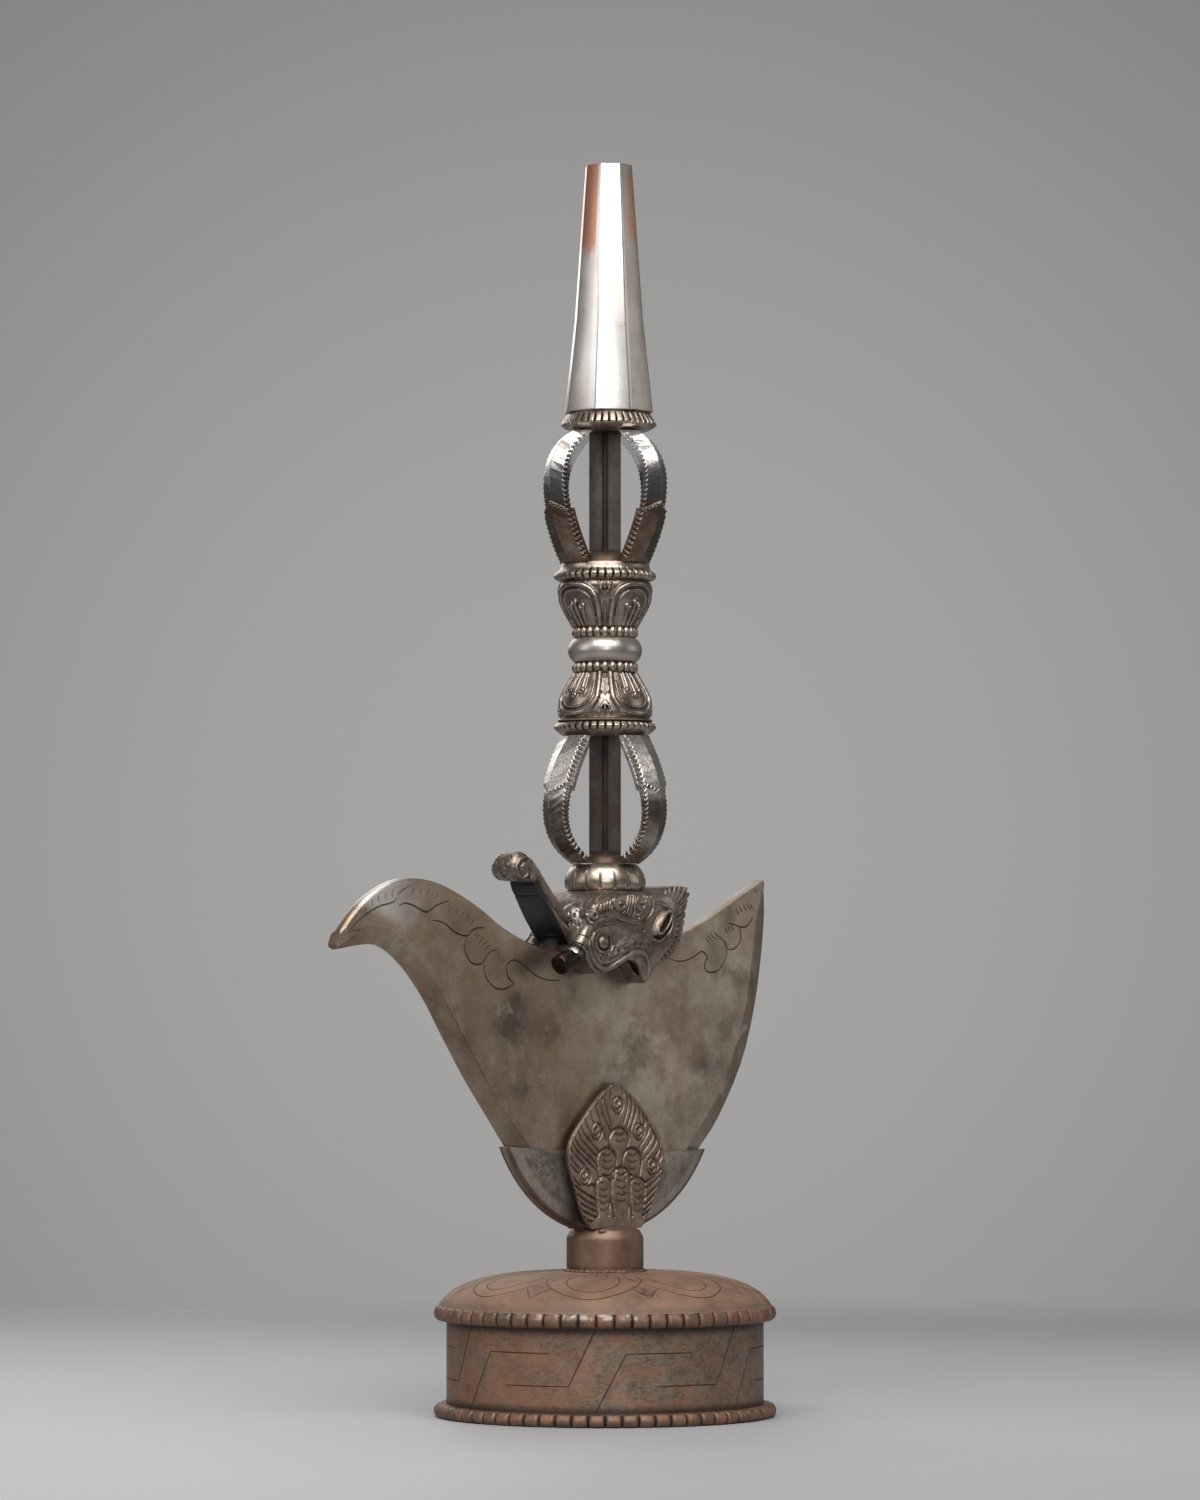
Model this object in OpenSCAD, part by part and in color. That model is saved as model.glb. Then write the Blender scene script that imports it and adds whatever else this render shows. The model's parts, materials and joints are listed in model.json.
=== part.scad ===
// Ritual flaying knife with a thunderbolt handle, standing upright in its own cradle stand.
// The blade lies in the XZ plane with its hook towards -X, and the front of the piece faces -Y.
// The origin is the centre of the stand's flat foot. All sizes are millimetres.

/* [Stand drum] */
// Radius of the drum's outer wall
drum_r = 37.8; // [34:0.2:44]
// Height of the drum
drum_h = 26.2; // [20:0.2:34]
// Thickness of the drum, dome and bottom plate
sheet_t = 1.5; // [1:0.1:2.2]
// How far the two rope rings stand out of the drum
rope_out = 3; // [2:0.1:4]
// Height of the rope ring at the foot
foot_ring_h = 3.5; // [2.5:0.1:5]
// Height of the rope ring under the dome
rim_ring_h = 4.3; // [3:0.1:6]
// Notches cut around the foot ring
foot_notches = 64; // [40:1:72]
// Notches cut around the rim ring
rim_notches = 60; // [40:1:72]
// Depth of the notches in both rope rings
rope_notch = 0.7; // [0.3:0.1:1]
// Rise of the dome above the drum
dome_rise = 8.1; // [6:0.1:12]

/* [Stem] */
// Radius of the stem
stem_r = 9.2; // [8:0.1:12]
// Height of the stem above the dome
stem_h = 10.2; // [9:0.1:16]
// Width of the bevel around the stem's top
stem_bevel_w = 1.1; // [0.3:0.1:1.5]
// Height of the bevel around the stem's top
stem_bevel_h = 1.9; // [0.5:0.1:3]
// Radius of the screw that holds the stem on the dome
screw_r = 2; // [1.5:0.1:3]
// Length of the screw inside the stem
screw_grip = 5.5; // [4:0.1:6]
// Radius of the screw's head
screw_head_r = 3.8; // [3.4:0.1:5]
// Height of the screw's head
screw_head_h = 2.4; // [1.5:0.1:3.5]
// Radius of the washer under the screw's head
washer_r = 6; // [5:0.1:8]
// Thickness of the washer
washer_t = 1; // [0.6:0.1:1.5]

/* [Cradle] */
// Outer radius of the crescent cradle
cradle_r = 37.9; // [37.6:0.1:42]
// Height of the cradle from its lowest point to the ends of its lip
cradle_h = 20.4; // [16:0.2:25]
// How far the lip dips in the middle
lip_dip = 0.9; // [0.4:0.1:2]
// Turn of the cradle's lip about its round outline, in degrees
lip_turn = 1.5; // [0:0.1:3]
// Depth that the cradle sinks into the stem
cradle_seat = 1.2; // [0.8:0.1:2.5]
// Thickness of the front and back plates of the cradle
cradle_t = 0.9; // [0.6:0.1:1.4]
// Thickness of the plates at their rim
rim_t = 0.6; // [0.4:0.1:0.9]
// Thickness of the strip that joins the rims of the two plates
strip_t = 0.6; // [0.5:0.1:1.2]
// Height of the feather leaves above the stem
feather_h = 35; // [30:0.1:42]
// Greatest width of the feather leaves
feather_w = 32; // [26:0.2:38]
// Thickness of the feather leaves
feather_t = 1.2; // [0.8:0.1:2]

/* [Blade] */
// Thickness of the blade
blade_t = 3.2; // [2.6:0.1:4]
// Thickness left at the cutting edge
edge_t = 0.8; // [0.4:0.1:1.2]
// Width of the bevel along the cutting edge
bevel_w = 4.2; // [2:0.1:6]
// Clearance between the blade and the cradle
blade_fit = 0.3; // [0.2:0.05:0.5]

/* [Head] */
// Height of the head's top above the lowest point of the blade
head_top = 80.7; // [78:0.1:88]
// Width of the head across the cheeks
head_w = 19.6; // [17:0.2:22]
// Radius that rounds the snout and the back of the head
head_round_r = 17.2; // [16:0.1:19]
// Height of the brow above the cheeks
brow_relief = 0.7; // [0.3:0.1:1]
// Radius of the eyeballs
eye_r = 2.1; // [1.6:0.1:2.6]
// Radius of the ears
ear_r = 4.2; // [3.6:0.1:4.8]
// Radius of the hollow in the ears
ear_hollow_r = 2.7; // [2:0.1:3]
// Depth of the hollow in the ears
ear_hollow_d = 2.6; // [1:0.1:3.4]
// Width of the trunk
trunk_w = 8.4; // [6:0.2:9.6]
// Radius of the scroll at the trunk's end
scroll_r = 3.5; // [3:0.1:4.4]
// Width of the mane
mane_w = 15; // [13:0.2:17]
// Length of the tusks
tusk_l = 13; // [11:0.1:16]
// Radius of the tusks at their roots
tusk_r = 1.7; // [1.4:0.1:2.1]
// Radius of the tusks at their ends
tusk_end_r = 2.4; // [1.8:0.1:2.8]
// Lean of the tusks away from upright, in degrees
tusk_lean = 30; // [20:1:40]
// Distance of each tusk from the middle of the head
tusk_y = 7.9; // [7:0.1:8.6]

/* [Handle] */
// Width of the square bar through the handle
tang_w = 5.55; // [4.6:0.05:6]
// Clearance around the square bar
tang_fit = 0.1; // [0.05:0.05:0.2]
// Length of the square bar inside the head
tang_in_head = 8; // [6:0.5:9]
// Length of the square bar inside the spike
tang_in_spike = 12; // [8:1:30]
// Height of the fluted collar above the head
collar_h = 6.6; // [5:0.1:9]
// Radius of the fluted collar
collar_r = 9.9; // [9.4:0.1:10.6]
// Flutes cut around the collar
collar_flutes = 17; // [12:1:24]
// Height of the lower cage
lower_cage_h = 30.4; // [26:0.2:36]
// Height of the upper cage
upper_cage_h = 31.7; // [26:0.2:38]
// Turn of the lower cage about the handle, in degrees
lower_cage_turn = -0.5; // [-10:0.1:10]
// Turn of the upper cage about the handle, in degrees
upper_cage_turn = 0.5; // [-10:0.1:10]
// Radius of both cage rings
cage_ring_r = 12.3; // [11.6:0.1:14]
// Height of both cage rings
cage_ring_h = 4.2; // [3:0.1:6]
// Notches cut around each cage ring
cage_notches = 40; // [24:1:48]
// Depth of the notches in the handle's rings
ring_notch = 0.5; // [0.2:0.1:0.8]
// Height of both lotus cups
lotus_h = 11; // [8:0.1:14]
// Radius of the lotus cups at their mouths
lotus_r = 10.9; // [10:0.1:12]
// Height of the petals above the lotus cups
petal_relief = 0.7; // [0.3:0.1:1.2]
// Radius of the handle beside the bulb
waist_r = 7.3; // [6:0.1:8]
// Radius of both bead rings
bead_r = 8; // [7.9:0.1:9]
// Height of both bead rings
bead_h = 2.6; // [2:0.1:4]
// Beads around each bead ring
bead_count = 24; // [16:1:32]
// Radius of the bulb
bulb_r = 8.9; // [8.2:0.1:11]
// Height of the bulb
bulb_h = 5.8; // [4:0.1:9]

/* [Prongs] */
// Width of the prongs
prong_w = 7.6; // [6:0.1:8.4]
// Width of the prongs at their far ends, away from the sheaths
prong_end_w = 6.2; // [5:0.1:7]
// Thickness of the prongs along their side edges
prong_edge_t = 1.2; // [0.9:0.1:1.6]
// Height of the ridge along the outside of the prongs
prong_ridge = 1.7; // [1:0.1:2.2]
// Radius of the cages at their widest, to the ridges of the prongs
cage_r = 19; // [17:0.1:21]
// Radius of the cages at the prongs' sheathed feet, to their side edges
cage_foot_r = 10.3; // [9.8:0.1:10.8]
// Radius of the cages at the prongs' far ends, to their side edges
cage_end_r = 8.4; // [7.8:0.1:9]
// Thickness that the leaf sheaths add to each side of the prongs
sheath_t = 0.45; // [0.3:0.05:0.8]
// Length of the leaf sheaths, to their points on the ridges
sheath_h = 14.4; // [10:0.2:17]
// How far the sheaths' points reach beyond their corners
sheath_point = 2.4; // [1:0.1:4]

/* [Spike] */
// Height of the ring under the spike
spike_ring_h = 4.6; // [3:0.1:7]
// Radius of the ring under the spike
spike_ring_r = 11.5; // [11:0.1:13]
// How far the spike and its ring stand off the handle's axis
spike_off = 0.9; // [0:0.1:1.2]
// Height of the spike
spike_h = 59.8; // [40:0.2:80]
// Distance across the flats at the spike's foot
spike_foot_w = 20.6; // [18:0.2:21.6]
// Distance across the flats where the spike's taper eases
spike_mid_w = 16; // [14:0.2:18]
// Height at which the spike's taper eases
spike_mid_h = 22; // [14:0.5:32]
// Distance across the flats at the spike's blunt top
spike_top_w = 10.8; // [8:0.2:13]
// Turn of the spike about the handle, in degrees
spike_turn = 5; // [-10:0.5:10]

/* [Hidden] */
$fn = 96;
STEPS = 3;

// Heights of the stand's pieces
dome_z = drum_h;
stem_z = dome_z + dome_rise;
stem_top = stem_z + stem_h;
cradle_low = stem_top - cradle_seat;
cradle_c = cradle_low + cradle_r;
lip_z = cradle_low + cradle_h;

// The slot between the cradle's plates, which narrows at the rim as the blade does
slot_w = blade_t + 2 * blade_fit;
rim_slot_w = edge_t + 2 * blade_fit;
cradle_w = slot_w + 2 * cradle_t;
rim_w = rim_slot_w + 2 * rim_t;
blade_reach = cradle_r - strip_t - blade_fit;
lip_half = sqrt(pow(cradle_r, 2) - pow(cradle_c - lip_z, 2));
lip_bow_r = (pow(lip_half, 2) + pow(lip_dip, 2)) / (2 * lip_dip);

// Heights of the knife's pieces
blade_z = cradle_low + strip_t + blade_fit;
grip_z = blade_z + head_top;
lower_cage_z = grip_z + collar_h;
lower_ring_z = lower_cage_z + lower_cage_h;
lower_lotus_z = lower_ring_z + cage_ring_h;
lower_bead_z = lower_lotus_z + lotus_h;
bulb_z = lower_bead_z + bead_h;
upper_bead_z = bulb_z + bulb_h;
upper_lotus_z = upper_bead_z + bead_h;
upper_ring_z = upper_lotus_z + lotus_h;
upper_cage_z = upper_ring_z + cage_ring_h;
spike_ring_z = upper_cage_z + upper_cage_h;
spike_z = spike_ring_z + spike_ring_h;

// Ribs across the blade from its hook to its point: edge x, edge z, spine x, spine z,
// with the edge measured from the blade's lowest point and the spine from the head's top
RIBS = [
    [-87.6, 66.2, -87.9, -13.2], [-84.3, 66.7, -86.5, -10.2], [-80.8, 67.2, -82.6, -5.8],
    [-77.2, 67.5, -77.4, -1.8], [-74.2, 67.2, -70.4, 1.4], [-71.2, 65.9, -63, 2.1],
    [-68.2, 63.9, -56, 1.1], [-64.6, 60.8, -49, -1.5], [-59.2, 54.7, -42, -5],
    [-53.7, 46.7, -35, -9.2], [-46.3, 36.4, -26, -12.8], [-39.6, 28.2, -17, -14.5],
    [-32.6, 19.7, -11, -15], [-24, 10.2, -6, -15.2], [-12.5, 2.6, -1.5, -15.2],
    [0, 0, 3, -15.1], [12.5, 2.6, 7, -14.8], [24, 10.2, 12, -14],
    [32, 19, 18, -12.3], [38.6, 26.2, 24, -10.3], [46.6, 39.1, 31.5, -7.4],
    [51.3, 52.4, 38, -4.4], [54, 66.3, 44, -1.3], [55, 76.9, 49.5, 1.5], [54.5, 83.4, 53.6, 3.5]
];

// Outlines of the head seen from its side, with z measured from the head's top
HEAD_SIDE = [
    [-9, 0], [-12.6, -2.4], [-15.2, -6], [-16.6, -10], [-15.8, -14.5], [-12.6, -18.5],
    [-8.7, -19.8], [-5.2, -18.8], [-1.5, -16.6], [2.5, -17.2], [5.4, -20.6], [7.6, -22],
    [9.2, -18], [12, -14.6], [14.8, -11.5], [15.8, -7.5], [14.6, -3.2], [11.6, -0.7], [9, 0]
];
// Half width of the head's front outline and height
HEAD_FRONT = [[8.9, 0], [9.8, -2.5], [9.7, -8], [9.1, -13], [8, -18], [6, -23]];
BROW = [
    [-15.8, -6.4], [-13, -7.2], [-9.6, -6], [-6.5, -5.8], [-1.3, -7.2], [3.9, -6.6],
    [6.8, -3.6], [5.4, -1.2], [-0.5, -0.8], [-6.5, -1.4], [-12.6, -3.2]
];
EYE = [-10, -12.4];
EAR = [10.6, -7.2];
TRUNK_TOP = [
    [-11, -11.6], [-13.9, -9.2], [-17.6, -5], [-20.9, -1.5], [-25, 3.2], [-26.9, 5.8], [-28.8, 8.4]
];
TRUNK_BELOW = [[-29.8, 3], [-27.6, 2], [-26.6, -0.4], [-23, -6.4], [-18.5, -11.8], [-13, -14.6]];
SCROLL = [-30.9, 5.4];
MANE = [
    [6, -1.4], [11.6, -0.4], [17, 0.6], [21.3, 0], [20.9, -4.6], [20.1, -8.6], [18.3, -12.6],
    [14.6, -16.2], [9.4, -17.8], [8.4, -14]
];
TUSK_ROOT = [-13.9, -7.9];

// Half width of the feather leaf at points down its height, both as shares
FEATHER = [
    [0, 1], [0.23, 0.94], [0.45, 0.86], [0.64, 0.77], [0.83, 0.68], [0.96, 0.59], [1, 0.49],
    [0.96, 0.39], [0.87, 0.28], [0.78, 0.18], [0.69, 0.09], [0.52, 0]
];

// Points of a smooth curve through the given points
function spline(p, n) = concat(
    [for (i = [0:len(p) - 2], j = [0:n - 1])
        let (t = j / n, a = p[max(i - 1, 0)], b = p[i], c = p[i + 1], d = p[min(i + 2, len(p) - 1)])
        (2 * b + (c - a) * t + (2 * a - 5 * b + 4 * c - d) * t * t
            + (3 * b - a - 3 * c + d) * t * t * t) / 2],
    [p[len(p) - 1]]);

// Points of a curve pulled from the first to the last point by the two between them
function bezier(p, n) = [for (i = [0:n]) let (t = i / n, s = 1 - t)
    s * s * s * p[0] + 3 * s * s * t * p[1] + 3 * s * t * t * p[2] + t * t * t * p[3]];

function unit(v) = v / norm(v);
function left_of(v) = [-v[1], v[0]];
function reversed(p) = [for (i = [len(p) - 1:-1:0]) p[i]];
function mirrored(p) = concat(p, [for (q = reversed(p)) [-q[0], q[1]]]);

// Faces of a skin drawn over stations of points, each station a ring round the section
function skin_faces(count, ring) = let (last = (count - 1) * ring) concat(
    [for (i = [0:count - 2], k = [0:ring - 1])
        let (a = i * ring + k, b = i * ring + (k + 1) % ring)
        each [[a, b, b + ring], [a, b + ring, a + ring]]],
    [for (k = [1:ring - 2]) each [[0, k + 1, k], [last, last + k, last + k + 1]]]);

// Stretches a flat outline upright in the XZ plane to a thickness along Y
module upright(w) {
    rotate([90, 0, 0]) linear_extrude(w, center = true) children();
}

// Turns a section round the Y axis
module turned_along_y() {
    rotate([90, 0, 0]) rotate_extrude() children();
}

// V grooves from the bottom to the top of a ring's outside
module rim_grooves(r, h, count, depth) {
    for (i = [0:count - 1])
        rotate([0, 0, 360 / count * i])
            translate([r, 0, h / 2])
                rotate([0, 0, 45])
                    cube([depth * sqrt(2), depth * sqrt(2), h + 2], center = true);
}

// A square hole for the bar through the handle
module tang_hole(z0, z1) {
    side = tang_w + 2 * tang_fit;
    translate([-side / 2, -side / 2, z0]) cube([side, side, z1 - z0]);
}

module rope_ring(z, h, count) {
    translate([0, 0, z]) difference() {
        rotate_extrude() intersection() {
            translate([drum_r, h / 2]) circle(r = max(rope_out, h / 2));
            translate([drum_r, 0]) square([rope_out, h]);
        }
        rim_grooves(drum_r + rope_out, h, count, rope_notch);
    }
}

module stand_foot_ring() {
    color("sienna") rope_ring(0, foot_ring_h, foot_notches);
}

module stand_bottom_plate() {
    color("dimgray") cylinder(r = drum_r - sheet_t, h = sheet_t);
}

module stand_drum() {
    color("peru") difference() {
        cylinder(r = drum_r, h = drum_h);
        translate([0, 0, -1]) cylinder(r = drum_r - sheet_t, h = drum_h + 2);
    }
}

module stand_rim_ring() {
    color("sienna") rope_ring(drum_h - rim_ring_h, rim_ring_h, rim_notches);
}

// Half section of the dome's outside, from the stem to the rim
function dome_curve(drop) = bezier([
    [stem_r + 2, dome_rise - drop], [drum_r * 0.74, dome_rise - drop],
    [drum_r * 0.97, dome_rise * 0.68 - drop], [drum_r + rope_out - 1 - drop, 0]], 10);

module stand_dome() {
    color("chocolate") translate([0, 0, dome_z]) difference() {
        rotate_extrude() polygon(concat([[0, 0], [0, dome_rise]], dome_curve(0)));
        rotate_extrude()
            polygon(concat([[0, -1], [0, dome_rise - sheet_t]], [for (p = dome_curve(sheet_t))
                [min(p[0], drum_r - sheet_t), max(p[1], 0)]], [[drum_r - sheet_t, -1]]));
        cylinder(r = screw_r + tang_fit, h = dome_rise + 1);
    }
}

module stem_collar() {
    color("gray") difference() {
        translate([0, 0, stem_z]) union() {
            cylinder(r = stem_r, h = stem_h - stem_bevel_h);
            translate([0, 0, stem_h - stem_bevel_h])
                cylinder(r1 = stem_r, r2 = stem_r - stem_bevel_w, h = stem_bevel_h);
        }
        translate([0, 0, cradle_c]) rotate([90, 0, 0]) rotate_extrude($fn = 200)
            polygon(concat(reversed([for (p = cradle_skin()) [p[0], -p[1]]]), cradle_skin()));
        translate([0, 0, stem_z - 1]) cylinder(r = screw_r + tang_fit, h = screw_grip + 1.3);
    }
}

module stem_screw() {
    head_z = stem_z - sheet_t - washer_t - screw_head_h;
    color("silver") translate([0, 0, head_z]) difference() {
        union() {
            cylinder(r = screw_head_r, h = screw_head_h);
            cylinder(r = screw_r, h = stem_z - head_z + screw_grip);
        }
        translate([-screw_head_r - 1, -0.5, -1]) cube([2 * screw_head_r + 2, 1, 2]);
    }
}

module stem_washer() {
    color("silver") translate([0, 0, stem_z - sheet_t - washer_t]) difference() {
        cylinder(r = washer_r, h = washer_t);
        translate([0, 0, -1]) cylinder(r = screw_r + tang_fit, h = washer_t + 2);
    }
}

// Everything below the cradle's lip, which dips in the middle
module below_lip() {
    translate([0, 0, cradle_c]) rotate([0, lip_turn, 0]) translate([0, 0, -cradle_c]) difference() {
        translate([-cradle_r - 1, -cradle_w, cradle_low - 1])
            cube([2 * cradle_r + 2, 2 * cradle_w, cradle_h + 1]);
        translate([0, 0, lip_z - lip_dip + lip_bow_r]) rotate([90, 0, 0])
            cylinder(r = lip_bow_r, h = 3 * cradle_w, center = true, $fn = 720);
    }
}

// Half section of the cradle's outside, which draws in at the rim as the blade's bevel does
function cradle_skin() =
    [[cradle_r, rim_w / 2], [blade_reach - bevel_w, cradle_w / 2], [0, cradle_w / 2]];

// The front or back plate of the cradle; side is -1 for the front and 1 for the back
module cradle_plate(side) {
    intersection() {
        translate([0, 0, cradle_c]) rotate([side * -90, 0, 0]) rotate_extrude($fn = 200)
            polygon(concat([[0, slot_w / 2], [blade_reach - bevel_w, slot_w / 2],
                [blade_reach, rim_slot_w / 2], [cradle_r, rim_slot_w / 2]], cradle_skin()));
        below_lip();
    }
}

module cradle_front_plate() {
    color("slategray") cradle_plate(-1);
}

module cradle_back_plate() {
    color("slategray") cradle_plate(1);
}

module cradle_edge_strip() {
    color("darkgoldenrod") intersection() {
        translate([0, 0, cradle_c]) rotate([90, 0, 0]) difference() {
            cylinder(r = cradle_r, h = rim_slot_w, center = true, $fn = 200);
            cylinder(r = cradle_r - strip_t, h = slot_w, center = true, $fn = 200);
        }
        below_lip();
    }
}

module feather_leaf(side) {
    half = [for (p = FEATHER) [p[0] * feather_w / 2, p[1] * feather_h]];
    translate([0, side * (cradle_w + feather_t) / 2, stem_top])
        upright(feather_t) polygon(mirrored(spline(half, STEPS)));
}

module front_feather_leaf() {
    color("rosybrown") feather_leaf(-1);
}

module back_feather_leaf() {
    color("rosybrown") feather_leaf(1);
}

// Stations along the blade: edge, bevel line and spine points, each as x and z
function blade_stations(n) = let (r = spline(RIBS, n), last = len(r) - 1)
    [for (i = [0:last]) let (
        edge = [r[i][0], r[i][1]], spine = [r[i][2], head_top + r[i][3]],
        before = r[max(i - 1, 0)], after = r[min(i + 1, last)],
        inward = unit(left_of([after[0] - before[0], after[1] - before[1]])),
        w = min(bevel_w, 0.42 * norm(spine - edge))
    ) [edge, edge + w * inward, spine]];

// The blade is a strip of stations, each a ring of six points round its section
module blade() {
    stations = blade_stations(STEPS);
    points = [for (s = stations) each [
        [s[0][0], -edge_t / 2, s[0][1]], [s[1][0], -blade_t / 2, s[1][1]],
        [s[2][0], -blade_t / 2, s[2][1]], [s[2][0], blade_t / 2, s[2][1]],
        [s[1][0], blade_t / 2, s[1][1]], [s[0][0], edge_t / 2, s[0][1]]]];
    color("lightslategray") translate([0, 0, blade_z])
        polyhedron(points = points, faces = skin_faces(len(stations), 6), convexity = 4);
}

// The space that the blade takes up under its spine, for the slot in the head
module blade_slot() {
    reach = 2 * head_w;
    near = [for (s = blade_stations(STEPS)) if (abs(s[2][0]) < reach) s[2]];
    translate([0, 0, blade_z]) upright(blade_t)
        polygon(concat(near, [[reach, head_top / 4], [-reach, head_top / 4]]));
}

// The rounded block of the head, swollen by grow across the cheeks
module head_block(grow = 0) {
    swell = head_w / 2 - HEAD_FRONT[1][0] + grow;
    front = [for (p = spline(HEAD_FRONT, STEPS)) [p[0] + swell, p[1]]];
    translate([0, 0, grip_z]) intersection() {
        upright(head_w + 2 * grow) polygon(spline(HEAD_SIDE, STEPS));
        rotate([90, 0, 90]) linear_extrude(3 * head_round_r, center = true)
            polygon(mirrored(front));
        translate([0, 0, -40]) cylinder(r = head_round_r + grow, h = 50);
    }
}

module makara_head() {
    color("gray") difference() {
        union() {
            head_block();
            intersection() {
                head_block(brow_relief);
                translate([0, 0, grip_z]) upright(head_w + 4) polygon(spline(BROW, STEPS));
            }
            translate([EAR[0], 0, grip_z + EAR[1]]) rotate([90, 0, 0])
                cylinder(r = ear_r, h = head_w - 0.6, center = true);
        }
        for (side = [-1, 1])
            translate([EAR[0], side * (head_w / 2 - 0.3 - ear_hollow_d), grip_z + EAR[1]])
                rotate([side * -90, 0, 0]) cylinder(r = ear_hollow_r, h = ear_hollow_d + 1);
        blade_slot();
        tang_hole(grip_z - tang_in_head, grip_z + 1);
    }
}

module makara_trunk() {
    outline = concat(spline(TRUNK_TOP, STEPS), spline(TRUNK_BELOW, STEPS));
    half = trunk_w / 2;
    scroll_end = bezier([[0, half], [scroll_r * 0.8, half], [scroll_r, half * 0.8],
        [scroll_r, half * 0.4]], 6);
    color("gray") difference() {
        translate([0, 0, grip_z]) union() {
            upright(trunk_w) polygon(outline);
            translate([SCROLL[0], 0, SCROLL[1]]) turned_along_y()
                polygon(concat(scroll_end, [for (p = reversed(scroll_end)) [p[0], -p[1]]]));
        }
        head_block();
        blade_slot();
    }
}

module makara_mane() {
    flutes = spline([for (i = [2:8]) MANE[i]], 2);
    color("gray") difference() {
        translate([0, 0, grip_z]) upright(mane_w) polygon(spline(MANE, STEPS));
        for (p = flutes)
            translate([p[0], 0, grip_z + p[1]]) rotate([0, 45, 0])
                cube([0.8, mane_w + 2, 0.8], center = true);
        head_block(brow_relief);
        translate([EAR[0], 0, grip_z + EAR[1]]) rotate([90, 0, 0])
            cylinder(r = ear_r + 0.05, h = head_w, center = true);
        blade_slot();
        translate([0, 0, grip_z]) cylinder(r = collar_r + 0.3, h = collar_h);
    }
}

// A tusk with two bands, rooted in the cheek, that leans forward and widens to a blunt end
module tusk(side) {
    band = tusk_l / 7;
    difference() {
        translate([TUSK_ROOT[0], side * tusk_y, grip_z + TUSK_ROOT[1]])
            rotate([0, 180 + tusk_lean, 0]) rotate_extrude() polygon([
                [0, 0], [tusk_r, 0], [tusk_r, 2 * band], [tusk_r * 1.15, 2 * band],
                [tusk_r * 1.15, 3 * band], [tusk_r, 3 * band], [tusk_r, 3.4 * band],
                [tusk_r * 1.2, 3.4 * band], [tusk_end_r, 5.5 * band],
                [tusk_end_r, 6.4 * band], [tusk_end_r * 0.6, 7 * band], [0, 7 * band]]);
        head_block();
    }
}

module front_tusk() {
    color("dimgray") tusk(-1);
}

module back_tusk() {
    color("dimgray") tusk(1);
}

// An eyeball in a ring of lid
module eye(side) {
    lid_r = eye_r + 1;
    section = concat([[0, -1], [lid_r, -1]],
        bezier([[lid_r, 0.2], [lid_r, 1], [eye_r + 0.1, 1.2], [eye_r, 0.5]], 6),
        bezier([[eye_r * 0.98, 0.7], [eye_r * 0.9, eye_r * 0.9], [eye_r * 0.5, eye_r], [0, eye_r]], 6));
    difference() {
        translate([EYE[0], side * (head_w / 2 - 1.2), grip_z + EYE[1]])
            turned_along_y() polygon([for (p = section) [p[0], -side * p[1]]]);
        head_block();
    }
}

module front_eye() {
    color("silver") eye(-1);
}

module back_eye() {
    color("silver") eye(1);
}

module tang() {
    z0 = grip_z - tang_in_head;
    color("darkslategray") translate([-tang_w / 2, -tang_w / 2, z0])
        cube([tang_w, tang_w, spike_z + tang_in_spike - z0]);
}

module fluted_collar() {
    flute_r = 0.6;
    color("gray") difference() {
        translate([0, 0, grip_z]) rotate_extrude() polygon(concat([[0, 0]],
            bezier([[collar_r - 0.8, 0], [collar_r + 0.3, collar_h * 0.2],
                [collar_r + 0.1, collar_h * 0.64], [collar_r - 1.7, collar_h]], 8), [[0, collar_h]]));
        for (i = [0:collar_flutes - 1])
            rotate([0, 0, 360 / collar_flutes * (i + 0.5)])
                translate([collar_r, 0, grip_z - 1]) cylinder(r = flute_r, h = collar_h, $fn = 16);
        tang_hole(grip_z - 1, grip_z + collar_h + 1);
    }
}

// The curve of a prong's side edges over a cage of height 1: radius and height at t from 0 to 1
function cage_guide() = let (pull = (8 * (cage_r - prong_ridge) - cage_foot_r - cage_end_r) / 6)
    [[cage_foot_r, 0], [pull - 1.5, 0.41], [pull + 1.5, 0.78], [cage_end_r, 1]];
function on_curve(p, t) = let (s = 1 - t)
    s * s * s * p[0] + 3 * s * s * t * p[1] + 3 * s * t * t * p[2] + t * t * t * p[3];

// The t at which the prong's curve reaches a share of the cage's height
function t_at(share, a = 0, b = 1, tries = 16) = let (t = (a + b) / 2)
    tries == 0 ? t : on_curve(cage_guide(), t)[1] < share
        ? t_at(share, t, b, tries - 1) : t_at(share, a, t, tries - 1);

// A point of a prong in a cage of height h: out is measured away from the curve, level at both ends
function prong_point(h, t, out, y) = let (
    g = [for (p = cage_guide()) [p[0], p[1] * h]],
    ahead = on_curve(g, min(t + 0.01, 1)) - on_curve(g, max(t - 0.01, 0)),
    n = t == 0 || t == 1 ? [1, 0] : -unit(left_of(ahead)),
    p = on_curve(g, t) + out * n
) [p[0], y, p[1]];

// One station round a prong, with its ridge at t_ridge and its edges at t_edge, swollen by grow
function prong_station(h, t_edge, t_ridge, grow) = let (
    w = prong_w + (prong_end_w - prong_w) * pow(max(0, 2 * t_edge - 1), 2),
    half = w / 2 + grow,
    ridge = prong_ridge * min(1, 0.6 + 2 * t_ridge, 0.6 + 2 * (1 - t_ridge)) + grow
) [
    prong_point(h, t_ridge, ridge, 0), prong_point(h, t_edge, grow, -half),
    prong_point(h, t_edge, -prong_edge_t - grow, -half),
    prong_point(h, t_edge, -prong_edge_t - grow, half), prong_point(h, t_edge, grow, half)
];

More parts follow.
